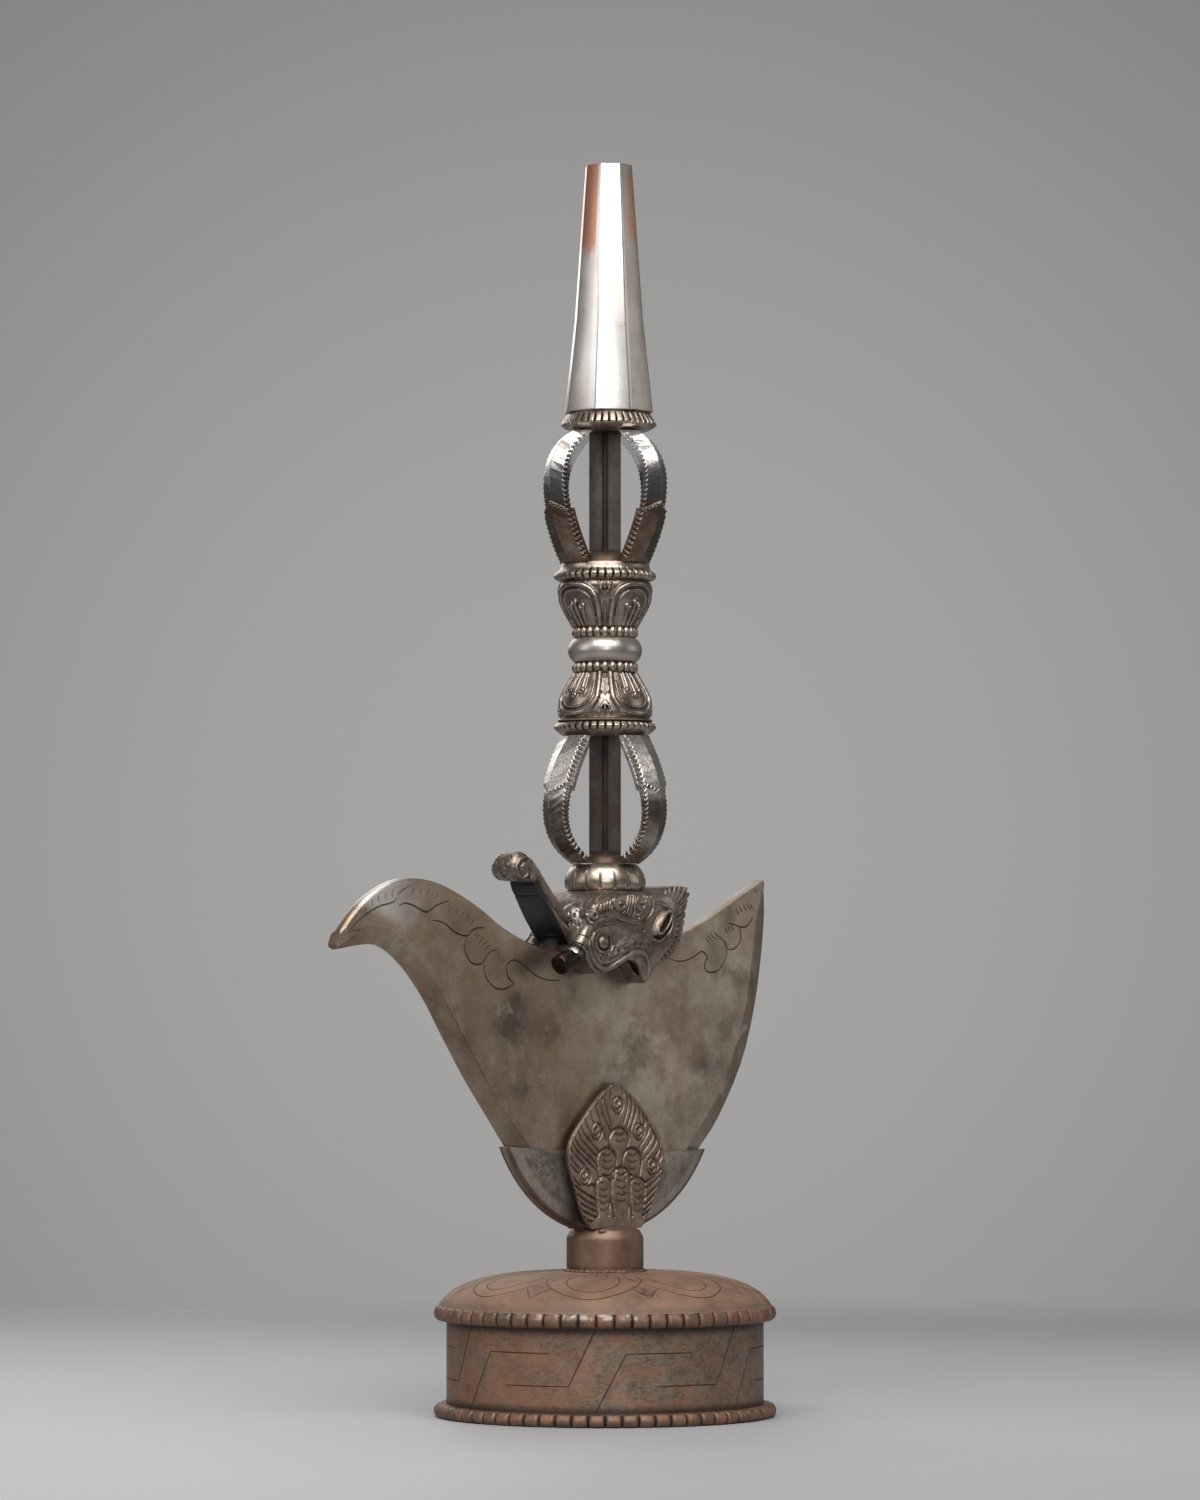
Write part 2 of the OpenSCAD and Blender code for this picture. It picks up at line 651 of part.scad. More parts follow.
// One prong of a cage of height h, standing on the foot that its leaf sheath wraps
module prong(h) {
    t_corner = t_at((sheath_h - sheath_point) / h);
    t_point = t_at(sheath_h / h);
    sheathed = 5;
    bare = 11;
    stations = concat(
        [for (i = [0:sheathed]) let (s = i / sheathed)
            prong_station(h, t_corner * s, t_point * s, sheath_t)],
        [for (i = [0:bare]) let (s = i / bare)
            prong_station(h, t_corner + (1 - t_corner) * s, t_point + (1 - t_point) * s, 0)]);
    polyhedron(points = [for (s = stations) each s], faces = skin_faces(len(stations), 5));
}

// The prongs of the lower cage hang head down, with their sheaths at the top
module lower_prong(i) {
    color("silver") rotate([0, 0, 90 * i + lower_cage_turn])
        translate([0, 0, lower_ring_z]) mirror([0, 0, 1]) prong(lower_cage_h);
}

module upper_prong(i) {
    color("silver") rotate([0, 0, 90 * i + upper_cage_turn])
        translate([0, 0, upper_cage_z]) prong(upper_cage_h);
}

module notched_ring(z, h, r, foot_r, top_r, count) {
    translate([0, 0, z]) difference() {
        rotate_extrude() polygon([
            [0, 0], [foot_r, 0], [r, h * 0.42], [r, h * 0.58], [top_r, h], [0, h]]);
        rim_grooves(r, h, count, ring_notch);
    }
}

module lower_cage_ring() {
    color("silver") difference() {
        notched_ring(lower_ring_z, cage_ring_h, cage_ring_r, cage_foot_r + sheath_t,
            lotus_r + petal_relief, cage_notches);
        tang_hole(lower_ring_z - 1, lower_lotus_z + 1);
    }
}

module upper_cage_ring() {
    color("silver") difference() {
        notched_ring(upper_ring_z, cage_ring_h, cage_ring_r, lotus_r + petal_relief,
            cage_foot_r + sheath_t, cage_notches);
        tang_hole(upper_ring_z - 1, upper_cage_z + 1);
    }
}

// The spike and its ring stand a little off the handle's axis, towards +X and -Y
module off_axis() {
    translate([spike_off / sqrt(2), -spike_off / sqrt(2), 0]) children();
}

module spike_ring() {
    color("silver") difference() {
        off_axis() notched_ring(spike_ring_z, spike_ring_h, spike_ring_r,
            cage_end_r + prong_ridge / 2, spike_foot_w / 2, cage_notches);
        tang_hole(spike_ring_z - 1, spike_z + 1);
    }
}

// A lotus cup standing on its waist, with four petals in line with the prongs
module lotus() {
    petal = [[0, 1.2], [2.6, 1.6], [5.4, 3.8], [6.6, 7], [5.6, 9.8], [3.2, 10.8], [0, 11]];
    outline = [for (p = spline(petal, STEPS)) [p[0], p[1] * lotus_h / 11]];
    wall = function (grow) concat([[0, 0]], bezier([[waist_r, 0], [waist_r + 2.4 + grow, lotus_h * 0.32],
        [lotus_r + grow, lotus_h * 0.5], [lotus_r + grow, lotus_h]], 8), [[0, lotus_h]]);
    difference() {
        union() {
            rotate_extrude() polygon(wall(0));
            for (i = [0:3])
                intersection() {
                    rotate_extrude() polygon(wall(petal_relief));
                    rotate([90, 0, 90 * i]) linear_extrude(lotus_r + 2) polygon(mirrored(outline));
                }
        }
        tang_hole(-1, lotus_h + 1);
    }
}

module lower_lotus() {
    color("silver") translate([0, 0, lower_lotus_z + lotus_h]) mirror([0, 0, 1]) lotus();
}

module upper_lotus() {
    color("silver") translate([0, 0, upper_lotus_z]) lotus();
}

module bead_ring(z) {
    translate([0, 0, z]) difference() {
        rotate_extrude() union() {
            square([waist_r, bead_h]);
            translate([bead_r - bead_h / 2, bead_h / 2]) circle(r = bead_h / 2);
        }
        rim_grooves(bead_r + 0.1, bead_h, bead_count, ring_notch + 0.1);
        tang_hole(-1, bead_h + 1);
    }
}

module lower_bead_ring() {
    color("silver") bead_ring(lower_bead_z);
}

module upper_bead_ring() {
    color("silver") bead_ring(upper_bead_z);
}

module grip_bulb() {
    pull = (8 * bulb_r - 2 * waist_r) / 6;
    color("silver") translate([0, 0, bulb_z]) difference() {
        rotate_extrude() polygon(concat([[0, 0]], bezier([[waist_r, 0], [pull, bulb_h * 0.1],
            [pull, bulb_h * 0.9], [waist_r, bulb_h]], 12), [[0, bulb_h]]));
        tang_hole(-1, bulb_h + 1);
    }
}

// An eight-sided spike that tapers fast at its foot, then more slowly to a blunt top
module spike() {
    corners = [for (w = [spike_foot_w, spike_mid_w, spike_top_w]) w / 2 / cos(22.5)];
    color("gainsboro") translate([0, 0, spike_z]) difference() {
        off_axis() rotate([0, 0, 22.5 + spike_turn]) union() {
            cylinder(r1 = corners[0], r2 = corners[1], h = spike_mid_h, $fn = 8);
            translate([0, 0, spike_mid_h])
                cylinder(r1 = corners[1], r2 = corners[2], h = spike_h - spike_mid_h, $fn = 8);
        }
        tang_hole(-1, tang_in_spike + 0.2);
    }
}

stand_foot_ring();
stand_bottom_plate();
stand_drum();
stand_rim_ring();
stand_dome();
stem_collar();
stem_screw();
stem_washer();
cradle_front_plate();
cradle_back_plate();
cradle_edge_strip();
front_feather_leaf();
back_feather_leaf();
blade();
makara_head();
makara_trunk();
makara_mane();
front_tusk();
back_tusk();
front_eye();
back_eye();
tang();
fluted_collar();
for (i = [1:4]) lower_prong(i);
lower_cage_ring();
lower_lotus();
lower_bead_ring();
grip_bulb();
upper_bead_ring();
upper_lotus();
upper_cage_ring();
for (i = [1:4]) upper_prong(i);
spike_ring();
spike();
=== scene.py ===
import json
import math
import random

import bpy
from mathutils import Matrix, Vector, kdtree


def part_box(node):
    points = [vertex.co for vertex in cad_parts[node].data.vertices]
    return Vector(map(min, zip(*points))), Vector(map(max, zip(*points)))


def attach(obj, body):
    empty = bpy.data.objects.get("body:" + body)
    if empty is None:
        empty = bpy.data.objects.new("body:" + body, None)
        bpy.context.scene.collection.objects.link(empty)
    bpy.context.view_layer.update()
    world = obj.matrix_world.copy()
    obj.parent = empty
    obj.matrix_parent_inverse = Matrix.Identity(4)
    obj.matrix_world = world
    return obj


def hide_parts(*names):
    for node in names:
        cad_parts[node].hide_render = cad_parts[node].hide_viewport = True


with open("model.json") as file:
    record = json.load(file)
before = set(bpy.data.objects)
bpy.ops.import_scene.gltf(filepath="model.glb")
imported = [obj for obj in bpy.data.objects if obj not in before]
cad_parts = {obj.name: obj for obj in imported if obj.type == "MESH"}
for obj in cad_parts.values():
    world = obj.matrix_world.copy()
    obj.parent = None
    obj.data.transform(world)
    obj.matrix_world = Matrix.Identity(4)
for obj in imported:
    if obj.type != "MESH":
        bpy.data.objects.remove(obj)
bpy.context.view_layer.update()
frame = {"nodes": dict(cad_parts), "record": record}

# The looks of a ritual flaying knife and its cradle stand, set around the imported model.
# Lengths are metres; sizes typed here are millimetres times MM.
MM = 0.001
BODY_OF = {node: body for body, nodes in frame["record"]["behaviour"]["bodies"].items() for node in nodes}
FRONT, BACK = -1, 1
DIAGONAL = 0.7071  # the camera looks along +X and +Y alike
FACING = 225  # the angle about the upright axis that faces the camera, in degrees
CRADLE_MID = 0.0812  # height of the middle of the cradle's round rim


def low(node):
    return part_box(node)[0]


def high(node):
    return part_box(node)[1]


def radius_of(node):
    return high(node).y


# Hand tools: starting, selecting and finishing a piece

def clear_selection():
    if bpy.context.object and bpy.context.object.mode != "OBJECT":
        bpy.ops.object.mode_set(mode="OBJECT")
    bpy.ops.object.select_all(action="DESELECT")


def named(name):
    piece = bpy.context.object
    piece.name = piece.data.name = name
    return piece


def work_on(piece):
    clear_selection()
    piece.select_set(True)
    bpy.context.view_layer.objects.active = piece
    return piece


def select(piece, kind, test):
    """Opens a piece for editing with only the verts, edges or faces selected that pass the test.
    A list of yes or no for every vertex may stand in for the test."""
    work_on(piece)
    mesh = piece.data
    for group in (mesh.vertices, mesh.edges, mesh.polygons):
        group.foreach_set("select", [False] * len(group))
    if kind == "VERT":
        flags = test if isinstance(test, list) else [test(v.co) for v in mesh.vertices]
        mesh.vertices.foreach_set("select", flags)
    elif kind == "EDGE":
        for e in mesh.edges:
            e.select = test(*[mesh.vertices[i].co for i in e.vertices])
    else:
        for f in mesh.polygons:
            f.select = test(f.center, f.normal)
    bpy.ops.object.mode_set(mode="EDIT")
    bpy.ops.mesh.select_mode(type=kind)


def edit_all(piece):
    work_on(piece)
    bpy.ops.object.mode_set(mode="EDIT")
    bpy.ops.mesh.select_all(action="SELECT")


def leave_edit():
    bpy.ops.object.mode_set(mode="OBJECT")


def modify(piece, kind, **settings):
    """Adds a modifier, sets it and applies it."""
    work_on(piece)
    modifier = piece.modifiers.new(kind.lower(), kind)
    for key, value in settings.items():
        setattr(modifier, key, value)
    bpy.ops.object.modifier_apply(modifier=modifier.name)
    return piece


def bevelled(piece, width, segments=2, angle=30):
    return modify(piece, "BEVEL", width=width * MM, segments=segments, limit_method="ANGLE",
                  angle_limit=math.radians(angle), harden_normals=False)


def close_up(piece):
    """Merges doubles and turns the faces outwards."""
    edit_all(piece)
    bpy.ops.mesh.remove_doubles(threshold=1e-6)
    bpy.ops.mesh.normals_make_consistent(inside=False)
    leave_edit()
    return piece


def copy_of(node, name):
    """A copy of a CAD node's shape to go on from, with its loose triangles merged into flat faces."""
    clear_selection()
    source = frame["nodes"][node]
    piece = bpy.data.objects.new(name, source.data.copy())
    bpy.context.scene.collection.objects.link(piece)
    piece.data.name = name
    edit_all(piece)
    bpy.ops.mesh.remove_doubles(threshold=2e-6)
    bpy.ops.mesh.dissolve_limited(angle_limit=math.radians(0.5))
    leave_edit()
    return piece


def joined(pieces, name):
    clear_selection()
    for piece in pieces:
        piece.select_set(True)
    bpy.context.view_layer.objects.active = pieces[0]
    bpy.ops.object.join()
    return named(name)


def placed(piece):
    """Puts an object's place, turn and scale into its mesh."""
    work_on(piece)
    bpy.ops.object.transform_apply(location=True, rotation=True, scale=True)
    return piece


def settle(piece, nodes, finish, crease=35):
    """Finishes a piece: it takes the place of its CAD nodes, rides on their body and gets its finish."""
    placed(piece)
    piece.data.materials.clear()
    piece.data.materials.append(finish)
    for face in piece.data.polygons:
        face.material_index = 0
    bpy.ops.object.shade_smooth_by_angle(angle=math.radians(crease))
    nodes = [nodes] if isinstance(nodes, str) else nodes
    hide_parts(*nodes)
    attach(piece, BODY_OF[nodes[0]])
    return piece


def around(p, angle):
    """A point turned about the upright axis, with the angle in degrees."""
    c, s = math.cos(math.radians(angle)), math.sin(math.radians(angle))
    return Vector((p[0] * c - p[1] * s, p[0] * s + p[1] * c, p[2]))


def lathe(name, profile, sides=96, closed=False):
    """Turns a profile of (radius, height) points: a ring is extruded and scaled from point to point."""
    clear_selection()
    bpy.ops.mesh.primitive_circle_add(vertices=sides, radius=profile[0][0], fill_type="NOTHING",
                                      location=(0, 0, profile[0][1]))
    piece = placed(named(name))
    if not closed:
        edit_all(piece)
        bpy.ops.mesh.edge_face_add()
        leave_edit()
    edit_all(piece)
    stops = profile[1:] + (profile[:1] if closed else [])
    for (r0, z0), (r1, z1) in zip(profile, stops):
        bpy.ops.mesh.extrude_region_move(TRANSFORM_OT_translate={"value": (0, 0, z1 - z0)})
        bpy.ops.transform.resize(value=(r1 / r0, r1 / r0, 1), center_override=(0, 0, z1))
    leave_edit()
    return close_up(piece)


def curve_points(points, steps=6):
    """Points of a smooth curve through the given points."""
    points = [Vector(p) for p in points]
    found = []
    for i in range(len(points) - 1):
        a, b, c, d = points[max(i - 1, 0)], points[i], points[i + 1], points[min(i + 2, len(points) - 1)]
        for j in range(steps):
            t = j / steps
            found.append((2 * b + (c - a) * t + (2 * a - 5 * b + 4 * c - d) * t * t
                          + (3 * b - a - 3 * c + d) * t ** 3) / 2)
    return found + [points[-1]]


def drawn(points, y, steps, base=0.0):
    """A smooth line through points in mm across and up from a base, at one depth."""
    return curve_points([(x * MM, y, base + z * MM) for x, z in points], steps)


def bow(a, b, c, d, steps):
    """Points of a curve from a to d, pulled by b and c, each point a pair."""
    return [tuple(sum(w * p[k] for w, p in zip(weights, (a, b, c, d))) for k in (0, 1))
            for weights in [((1 - t) ** 3, 3 * t * (1 - t) ** 2, 3 * t * t * (1 - t), t ** 3)
                            for t in [i / steps for i in range(steps + 1)]]]


def rod(name, a, b, wide, end, sides):
    """A round bar from a to b that tapers from one radius to the other, both in mm."""
    a, b = Vector(a), Vector(b)
    clear_selection()
    bpy.ops.mesh.primitive_cone_add(vertices=sides, radius1=wide * MM, radius2=end * MM, depth=(b - a).length,
                                    location=(a + b) / 2, rotation=(b - a).to_track_quat("Z", "Y").to_euler())
    return placed(named(name))


def ball(name, centre, radii, turn=(0, 0, 0)):
    """A ball or an egg with its half widths in mm."""
    clear_selection()
    bpy.ops.mesh.primitive_uv_sphere_add(segments=24, ring_count=14, radius=1, location=centre, rotation=turn)
    piece = named(name)
    piece.scale = [r * MM for r in radii]
    return placed(piece)


def wire(name, lines, radius, sides=2, taper=1.0):
    """Round wires along lines of points, as one mesh; each thins to the taper at its ends.
    Its radius is in mm."""
    clear_selection()
    data = bpy.data.curves.new(name, "CURVE")
    data.dimensions = "3D"
    data.bevel_depth = radius * MM
    data.bevel_resolution = sides
    data.use_fill_caps = True
    for line in lines:
        spline = data.splines.new("POLY")
        spline.points.add(len(line) - 1)
        for i, (p, point) in enumerate(zip(line, spline.points)):
            point.co = (*p, 1)
            along = min(i, len(line) - 1 - i) / max(1, 0.25 * (len(line) - 1))
            point.radius = taper + (1 - taper) * min(1, along)
    piece = bpy.data.objects.new(name, data)
    bpy.context.scene.collection.objects.link(piece)
    work_on(piece)
    bpy.ops.object.convert(target="MESH")
    return close_up(bpy.context.object)


def cut(piece, cutter):
    """Takes a cutter's space out of a piece and removes the cutter."""
    modify(piece, "BOOLEAN", object=cutter, operation="DIFFERENCE", solver="MANIFOLD")
    bpy.data.objects.remove(cutter)
    return piece


def across(a, b, share):
    """The value a share of the way from a to b."""
    return a + (b - a) * share


def level(table, at):
    """Reads a value between the rows of a table of rising (place, value) pairs."""
    for (x0, y0), (x1, y1) in zip(table, table[1:]):
        if at <= x1:
            return across(y0, y1, (at - x0) / (x1 - x0))
    return table[-1][1]


def engrave(piece, lines, radius, taper=0.5):
    """Cuts a round groove along each line of points, with a radius in mm."""
    for line in lines:
        cut(piece, wire("graver", [line], radius, 1, taper))
    return piece


def fused(piece, voxel, smooth=2):
    """Casts overlapping solids into one even skin, whose grain is the voxel's size in mm."""
    work_on(piece)
    piece.data.remesh_voxel_size = voxel * MM
    piece.data.remesh_voxel_adaptivity = 0
    bpy.ops.object.voxel_remesh()
    if smooth:
        modify(piece, "SMOOTH", factor=0.5, iterations=smooth)
    return piece


def chase(piece, lines, width, depth, keep=lambda p: True, bands=3):
    """Presses a round groove along lines into a finely meshed piece; a depth below 0 raises a ridge.
    Its width and depth are in mm."""
    width, depth = width * MM, depth * MM
    points = [p for line in lines for p in dense(line, width / 3)]
    tree = kdtree.KDTree(len(points))
    for i, p in enumerate(points):
        tree.insert(p, i)
    tree.balance()
    away = [tree.find(v.co)[2] if keep(v.co) else width for v in piece.data.vertices]
    for band in range(bands):
        reach = width * math.sqrt(1 - (band + 0.5) / bands)
        select(piece, "VERT", [d < reach for d in away])
        bpy.ops.transform.shrink_fatten(value=-depth / bands)
        leave_edit()
    return piece


def dense(line, step):
    """The same line with points no further apart than the step."""
    found = []
    for a, b in zip(line, line[1:]):
        count = max(1, math.ceil((Vector(b) - Vector(a)).length / step))
        found += [Vector(a).lerp(Vector(b), i / count) for i in range(count)]
    return found + [Vector(line[-1])]


# Finishes: shader maths is written on values

class Value:
    """A number that changes over a surface. Arithmetic on it adds Math nodes."""

    def __init__(self, finish, socket):
        self.finish = finish
        self.socket = socket

    def math(self, operation, other, swapped=False):
        pair = (other, self) if swapped else (self, other)
        return self.finish.node("Math", {"operation": operation}, *pair)

    def __add__(self, other):
        return self.math("ADD", other)

    def __sub__(self, other):
        return self.math("SUBTRACT", other)

    def __rsub__(self, other):
        return self.math("SUBTRACT", other, True)

    def __mul__(self, other):
        return self.math("MULTIPLY", other)

    __radd__ = __add__
    __rmul__ = __mul__

    def band(self, start, end):
        """0 before the start, 1 past the end and smooth between them; the start may be the larger."""
        return self.finish.node("MapRange", {"interpolation_type": "SMOOTHSTEP"}, self, start, end)

    def least(self, other):
        return self.math("MINIMUM", other)

    def most(self, other):
        return self.math("MAXIMUM", other)


class Finish:
    """One material, built up in layers on a metal shader."""

    def __init__(self, name, **constants):
        self.material = bpy.data.materials.new(name)
        self.material.use_nodes = True
        self.tree = self.material.node_tree
        self.shader = self.tree.nodes["Principled BSDF"]
        for socket, value in constants.items():
            self.shader.inputs[socket.replace("_", " ")].default_value = value
        self.place = self.node("TexCoord", out="Object")
        parts = self.tree.nodes.new("ShaderNodeSeparateXYZ")
        self.tree.links.new(self.place.socket, parts.inputs[0])
        self.x, self.y, self.z = [Value(self, socket) for socket in parts.outputs]

    def node(self, kind, settings=None, *values, out=0, **sockets):
        """Adds a node: its settings first, then the values or links of its sockets."""
        made = self.tree.nodes.new("ShaderNode" + kind)
        for key, value in (settings or {}).items():
            if key == "stops":
                for i, (at, colour) in enumerate(value):
                    stop = made.color_ramp.elements[i] if i < 2 else made.color_ramp.elements.new(at)
                    stop.position, stop.color = at, (*colour, 1)
            else:
                setattr(made, key, value)
        for key, value in [*enumerate(values), *sockets.items()]:
            self.feed(made.inputs[key], value)
        return Value(self, made.outputs[out])

    def feed(self, socket, value):
        if isinstance(value, Value):
            self.tree.links.new(value.socket, socket)
        elif isinstance(value, tuple) and len(value) == 3 and len(socket.default_value) == 4:
            socket.default_value = (*value, 1)
        else:
            socket.default_value = value

    def noise(self, size, detail=4, rough=0.6, stretch=(1, 1, 1), move=(0, 0, 0), warp=0.0):
        """Cloudy values from 0 to 1 whose blotches are about one size across, in mm."""
        place = self.node("Mapping", None, self.place, Location=move, Scale=stretch)
        return self.node("TexNoise", None, Vector=place, Scale=1 / (size * MM),
                         Detail=detail, Roughness=rough, Distortion=warp)

    def near(self, point, reach):
        """1 at a point, falling to 0 at a reach of it, all in mm."""
        away = self.node("VectorMath", {"operation": "DISTANCE"}, self.place,
                         tuple(v * MM for v in point), out="Value")
        return away.band(reach * MM, 0)

    def from_axis(self, x, z):
        """The distance from a level line along Y, in metres."""
        offset = self.node("CombineXYZ", None, self.x - x, 0.0, self.z - z)
        return self.node("VectorMath", {"operation": "LENGTH"}, offset, out="Value")

    def crevice(self, reach, inside=False):
        """How deep a point lies in a hollow or, inside, how near it lies to an edge that sticks out."""
        made = self.node("AmbientOcclusion", {"samples": 6, "only_local": True, "inside": inside},
                         Distance=reach, out="AO")
        return 1 - made

    def mix(self, share, a, b):
        made = self.tree.nodes.new("ShaderNodeMix")
        made.data_type = "RGBA"
        for index, value in ((0, share), (6, a), (7, b)):
            self.feed(made.inputs[index], value)
        return Value(self, made.outputs[2])

    def layers(self, colour, *coats):
        """Puts coats over a colour, each a share from 0 to 1 and its own colour."""
        for share, coat in coats:
            colour = self.mix(share, colour, coat)
        return colour

    def wear(self, colour, roughness, metal=None, normal=None):
        """Connects the finish's values to the shader."""
        for socket, value in (("Base Color", colour), ("Roughness", roughness),
                              ("Metallic", metal), ("Normal", normal)):
            if value is not None:
                self.feed(self.shader.inputs[socket], value)
        return self.material


def iron(name, light, mid, dark, rust=(0.3, 0.1, 0.035), rust_share=0.2, rough=(0.34, 0.62), cloud=9,
         soot=0.9, reach=1.0, shine=0.5, bright=(0.66, 0.62, 0.57), grain=0.04, metal=0.88, paint=None):
    """Aged iron: cloudy browns and greys, rust in patches, dark hollows and rubbed bright edges."""
    f = Finish(name, Metallic=1.0)
    cloud_a = f.noise(cloud, 6, 0.66)
    cloud_b = f.noise(cloud * 0.27, 6, 0.7, move=(0.3, 0.1, 0.2))
    fine = f.noise(0.55, 4, 0.75)
    tone = f.node("ValToRGB", {"stops": [(0.34, dark), (0.68, light), (0.5, mid)]},
                  cloud_a * 0.45 + cloud_b * 0.35 + fine * 0.2)
    freckle = (fine * 0.65 + cloud_b * 0.35).band(0.53, 0.66)
    colour = f.mix(freckle * 0.6, tone, dark)
    rusty = (cloud_a * 0.4 + f.noise(cloud * 0.5, 7, 0.75, move=(0.7, 0.4, 0)) * 0.45
             + fine * 0.15).band(0.66 - rust_share * 0.5, 0.8 - rust_share * 0.5)
    colour = f.mix(rusty * 0.75, colour, f.mix(fine.band(0.35, 0.65), rust, tuple(0.4 * c for c in rust)))
    if paint:
        colour = paint(f, colour)
    hollow = f.crevice(reach * MM).band(0.08, 0.42)
    colour = f.mix(hollow * soot, colour, tuple(0.12 * c for c in dark))
    edge = f.crevice(0.5 * MM, True).band(0.5, 0.85) * (1 - hollow)
    rubbed = edge * (0.35 + fine * 1.1).least(1) * shine
    colour = f.mix(rubbed, colour, bright)
    roughness = rough[0] + (rough[1] - rough[0]) * (cloud_b * 0.6 + fine * 0.4) + rusty * 0.2 + hollow * 0.2
    roughness = roughness - rubbed * 0.12
    metalness = (metal - rusty * 0.4 - hollow * 0.3).most(0.05)
    height = fine * 0.7 + cloud_b * 0.5
    return f.wear(colour, roughness, metalness, f.node("Bump", None, 0.5, grain * MM * 4, Height=height))


# Camera, floor and lights

def set_up_camera():
    """The photograph's view: from the front left, a little above the stand, with a long lens."""
    distance, height, yaw, tilt, aside = 1.3294, 0.09884, math.radians(45), math.radians(2.579), 0.0012
    forward = Vector((math.sin(yaw) * math.cos(tilt), math.cos(yaw) * math.cos(tilt), math.sin(tilt)))
    right = Vector((math.cos(yaw), -math.sin(yaw), 0))
    data = bpy.data.cameras.new("photo_view")
    data.lens = 133.33
    camera = bpy.data.objects.new("photo_view", data)
    camera.location = Vector((-math.sin(yaw), -math.cos(yaw), 0)) * distance - right * aside
    camera.location.z = height
    camera.rotation_euler = forward.to_track_quat("-Z", "Y").to_euler()
    bpy.context.scene.collection.objects.link(camera)
    bpy.context.scene.camera = camera


def set_up_floor():
    """A pale table top, painted lighter near the stand as a pool of light, that fades into the backdrop at
    its far side.
    """
    clear_selection()
    bpy.ops.mesh.primitive_circle_add(vertices=96, radius=3, fill_type="NGON")
    floor = named("table_top")
    f = Finish("pale_table", Roughness=0.55)
    away = f.node("VectorMath", {"operation": "LENGTH"}, f.place, out="Value")
    # Painted light: the table top is lighter within about 0.45 m of the stand, over a faint cloudy tone
    shade = f.noise(200, 2, 0.5) * 0.03 + away.band(0.45, 0.12) * 0.15 + 0.305
    f.wear(f.mix(shade, (0.0, 0.0, 0.0), (0.74, 0.74, 0.76)), None)
    clear = f.tree.nodes.new("ShaderNodeBsdfTransparent")
    blend = f.tree.nodes.new("ShaderNodeMixShader")
    f.feed(blend.inputs[0], away.band(0.33, 0.56))
    f.tree.links.new(f.shader.outputs[0], blend.inputs[1])
    f.tree.links.new(clear.outputs[0], blend.inputs[2])
    f.tree.links.new(blend.outputs[0], f.tree.nodes["Material Output"].inputs[0])
    floor.data.materials.append(f.material)


def set_up_light():
    """Soft boxes around the piece in a dim grey room, with a lit backdrop behind it."""
    world = bpy.data.worlds.new("studio")
    world.use_nodes = True
    bpy.context.scene.world = world
    tree = world.node_tree
    room = tree.nodes["Background"]
    ahead = tree.nodes.new("ShaderNodeTexCoord")
    facing = tree.nodes.new("ShaderNodeVectorMath")
    facing.operation = "DOT_PRODUCT"
    facing.inputs[1].default_value = Vector((DIAGONAL, DIAGONAL, 0.03)).normalized()
    tone = tree.nodes.new("ShaderNodeValToRGB")
    # Where the ramp's stops lie, from behind the camera (0) to straight ahead of it (1), and their greys
    greys = [(0.0, 0.09), (1.0, 0.38), (0.8, 0.12), (0.955, 0.15), (0.976, 0.19), (0.99, 0.285)]
    for i, (at, grey) in enumerate(greys):
        stop = tone.color_ramp.elements[i] if i < 2 else tone.color_ramp.elements.new(at)
        stop.position, stop.color = at, (grey, grey * 0.985, grey * 0.97, 1)
    tree.links.new(ahead.outputs["Generated"], facing.inputs[0])
    tree.links.new(facing.outputs["Value"], tone.inputs[0])
    tree.links.new(tone.outputs[0], room.inputs[0])
    boxes = {  # each box's place, its width and height in metres, and its power in watts
        "key_box": ((-0.62, -0.62, 1.15), (1.5, 0.9), 25),
        "front_box": ((-1.05, -1.2, 0.4), (0.45, 0.35), 4.4),
        "left_box": ((-1.3, 0.5, 0.6), (0.7, 0.9), 3.6),
        "right_box": ((1.2, -1.0, 0.5), (0.8, 1.0), 2.1),
        "top_box": ((0.2, 0.2, 1.5), (0.9, 0.9), 6),
        "back_box": ((0.6, 1.4, 0.8), (1.0, 0.8), 5),
    }
    aim = Vector((0, 0, 0.13))
    for name, (place, size, power) in boxes.items():
        data = bpy.data.lights.new(name, "AREA")
        data.shape = "RECTANGLE"
        data.size, data.size_y = size
        data.energy = power
        lamp = bpy.data.objects.new(name, data)
        lamp.location = place
        lamp.rotation_euler = (aim - lamp.location).to_track_quat("-Z", "Y").to_euler()
        bpy.context.scene.collection.objects.link(lamp)


bpy.context.scene.view_settings.view_transform = "Standard"
set_up_camera()
set_up_floor()
set_up_light()

# Finishes of the iron and steel pieces

FOOT_TOP = high("stand_foot_ring").z - 0.5 * MM
RIM_LOW = low("stand_rim_ring").z + 0.9 * MM


def rightward(f):
    """How far a point lies towards the picture's right, in metres."""
    return (f.x - f.y) * DIAGONAL


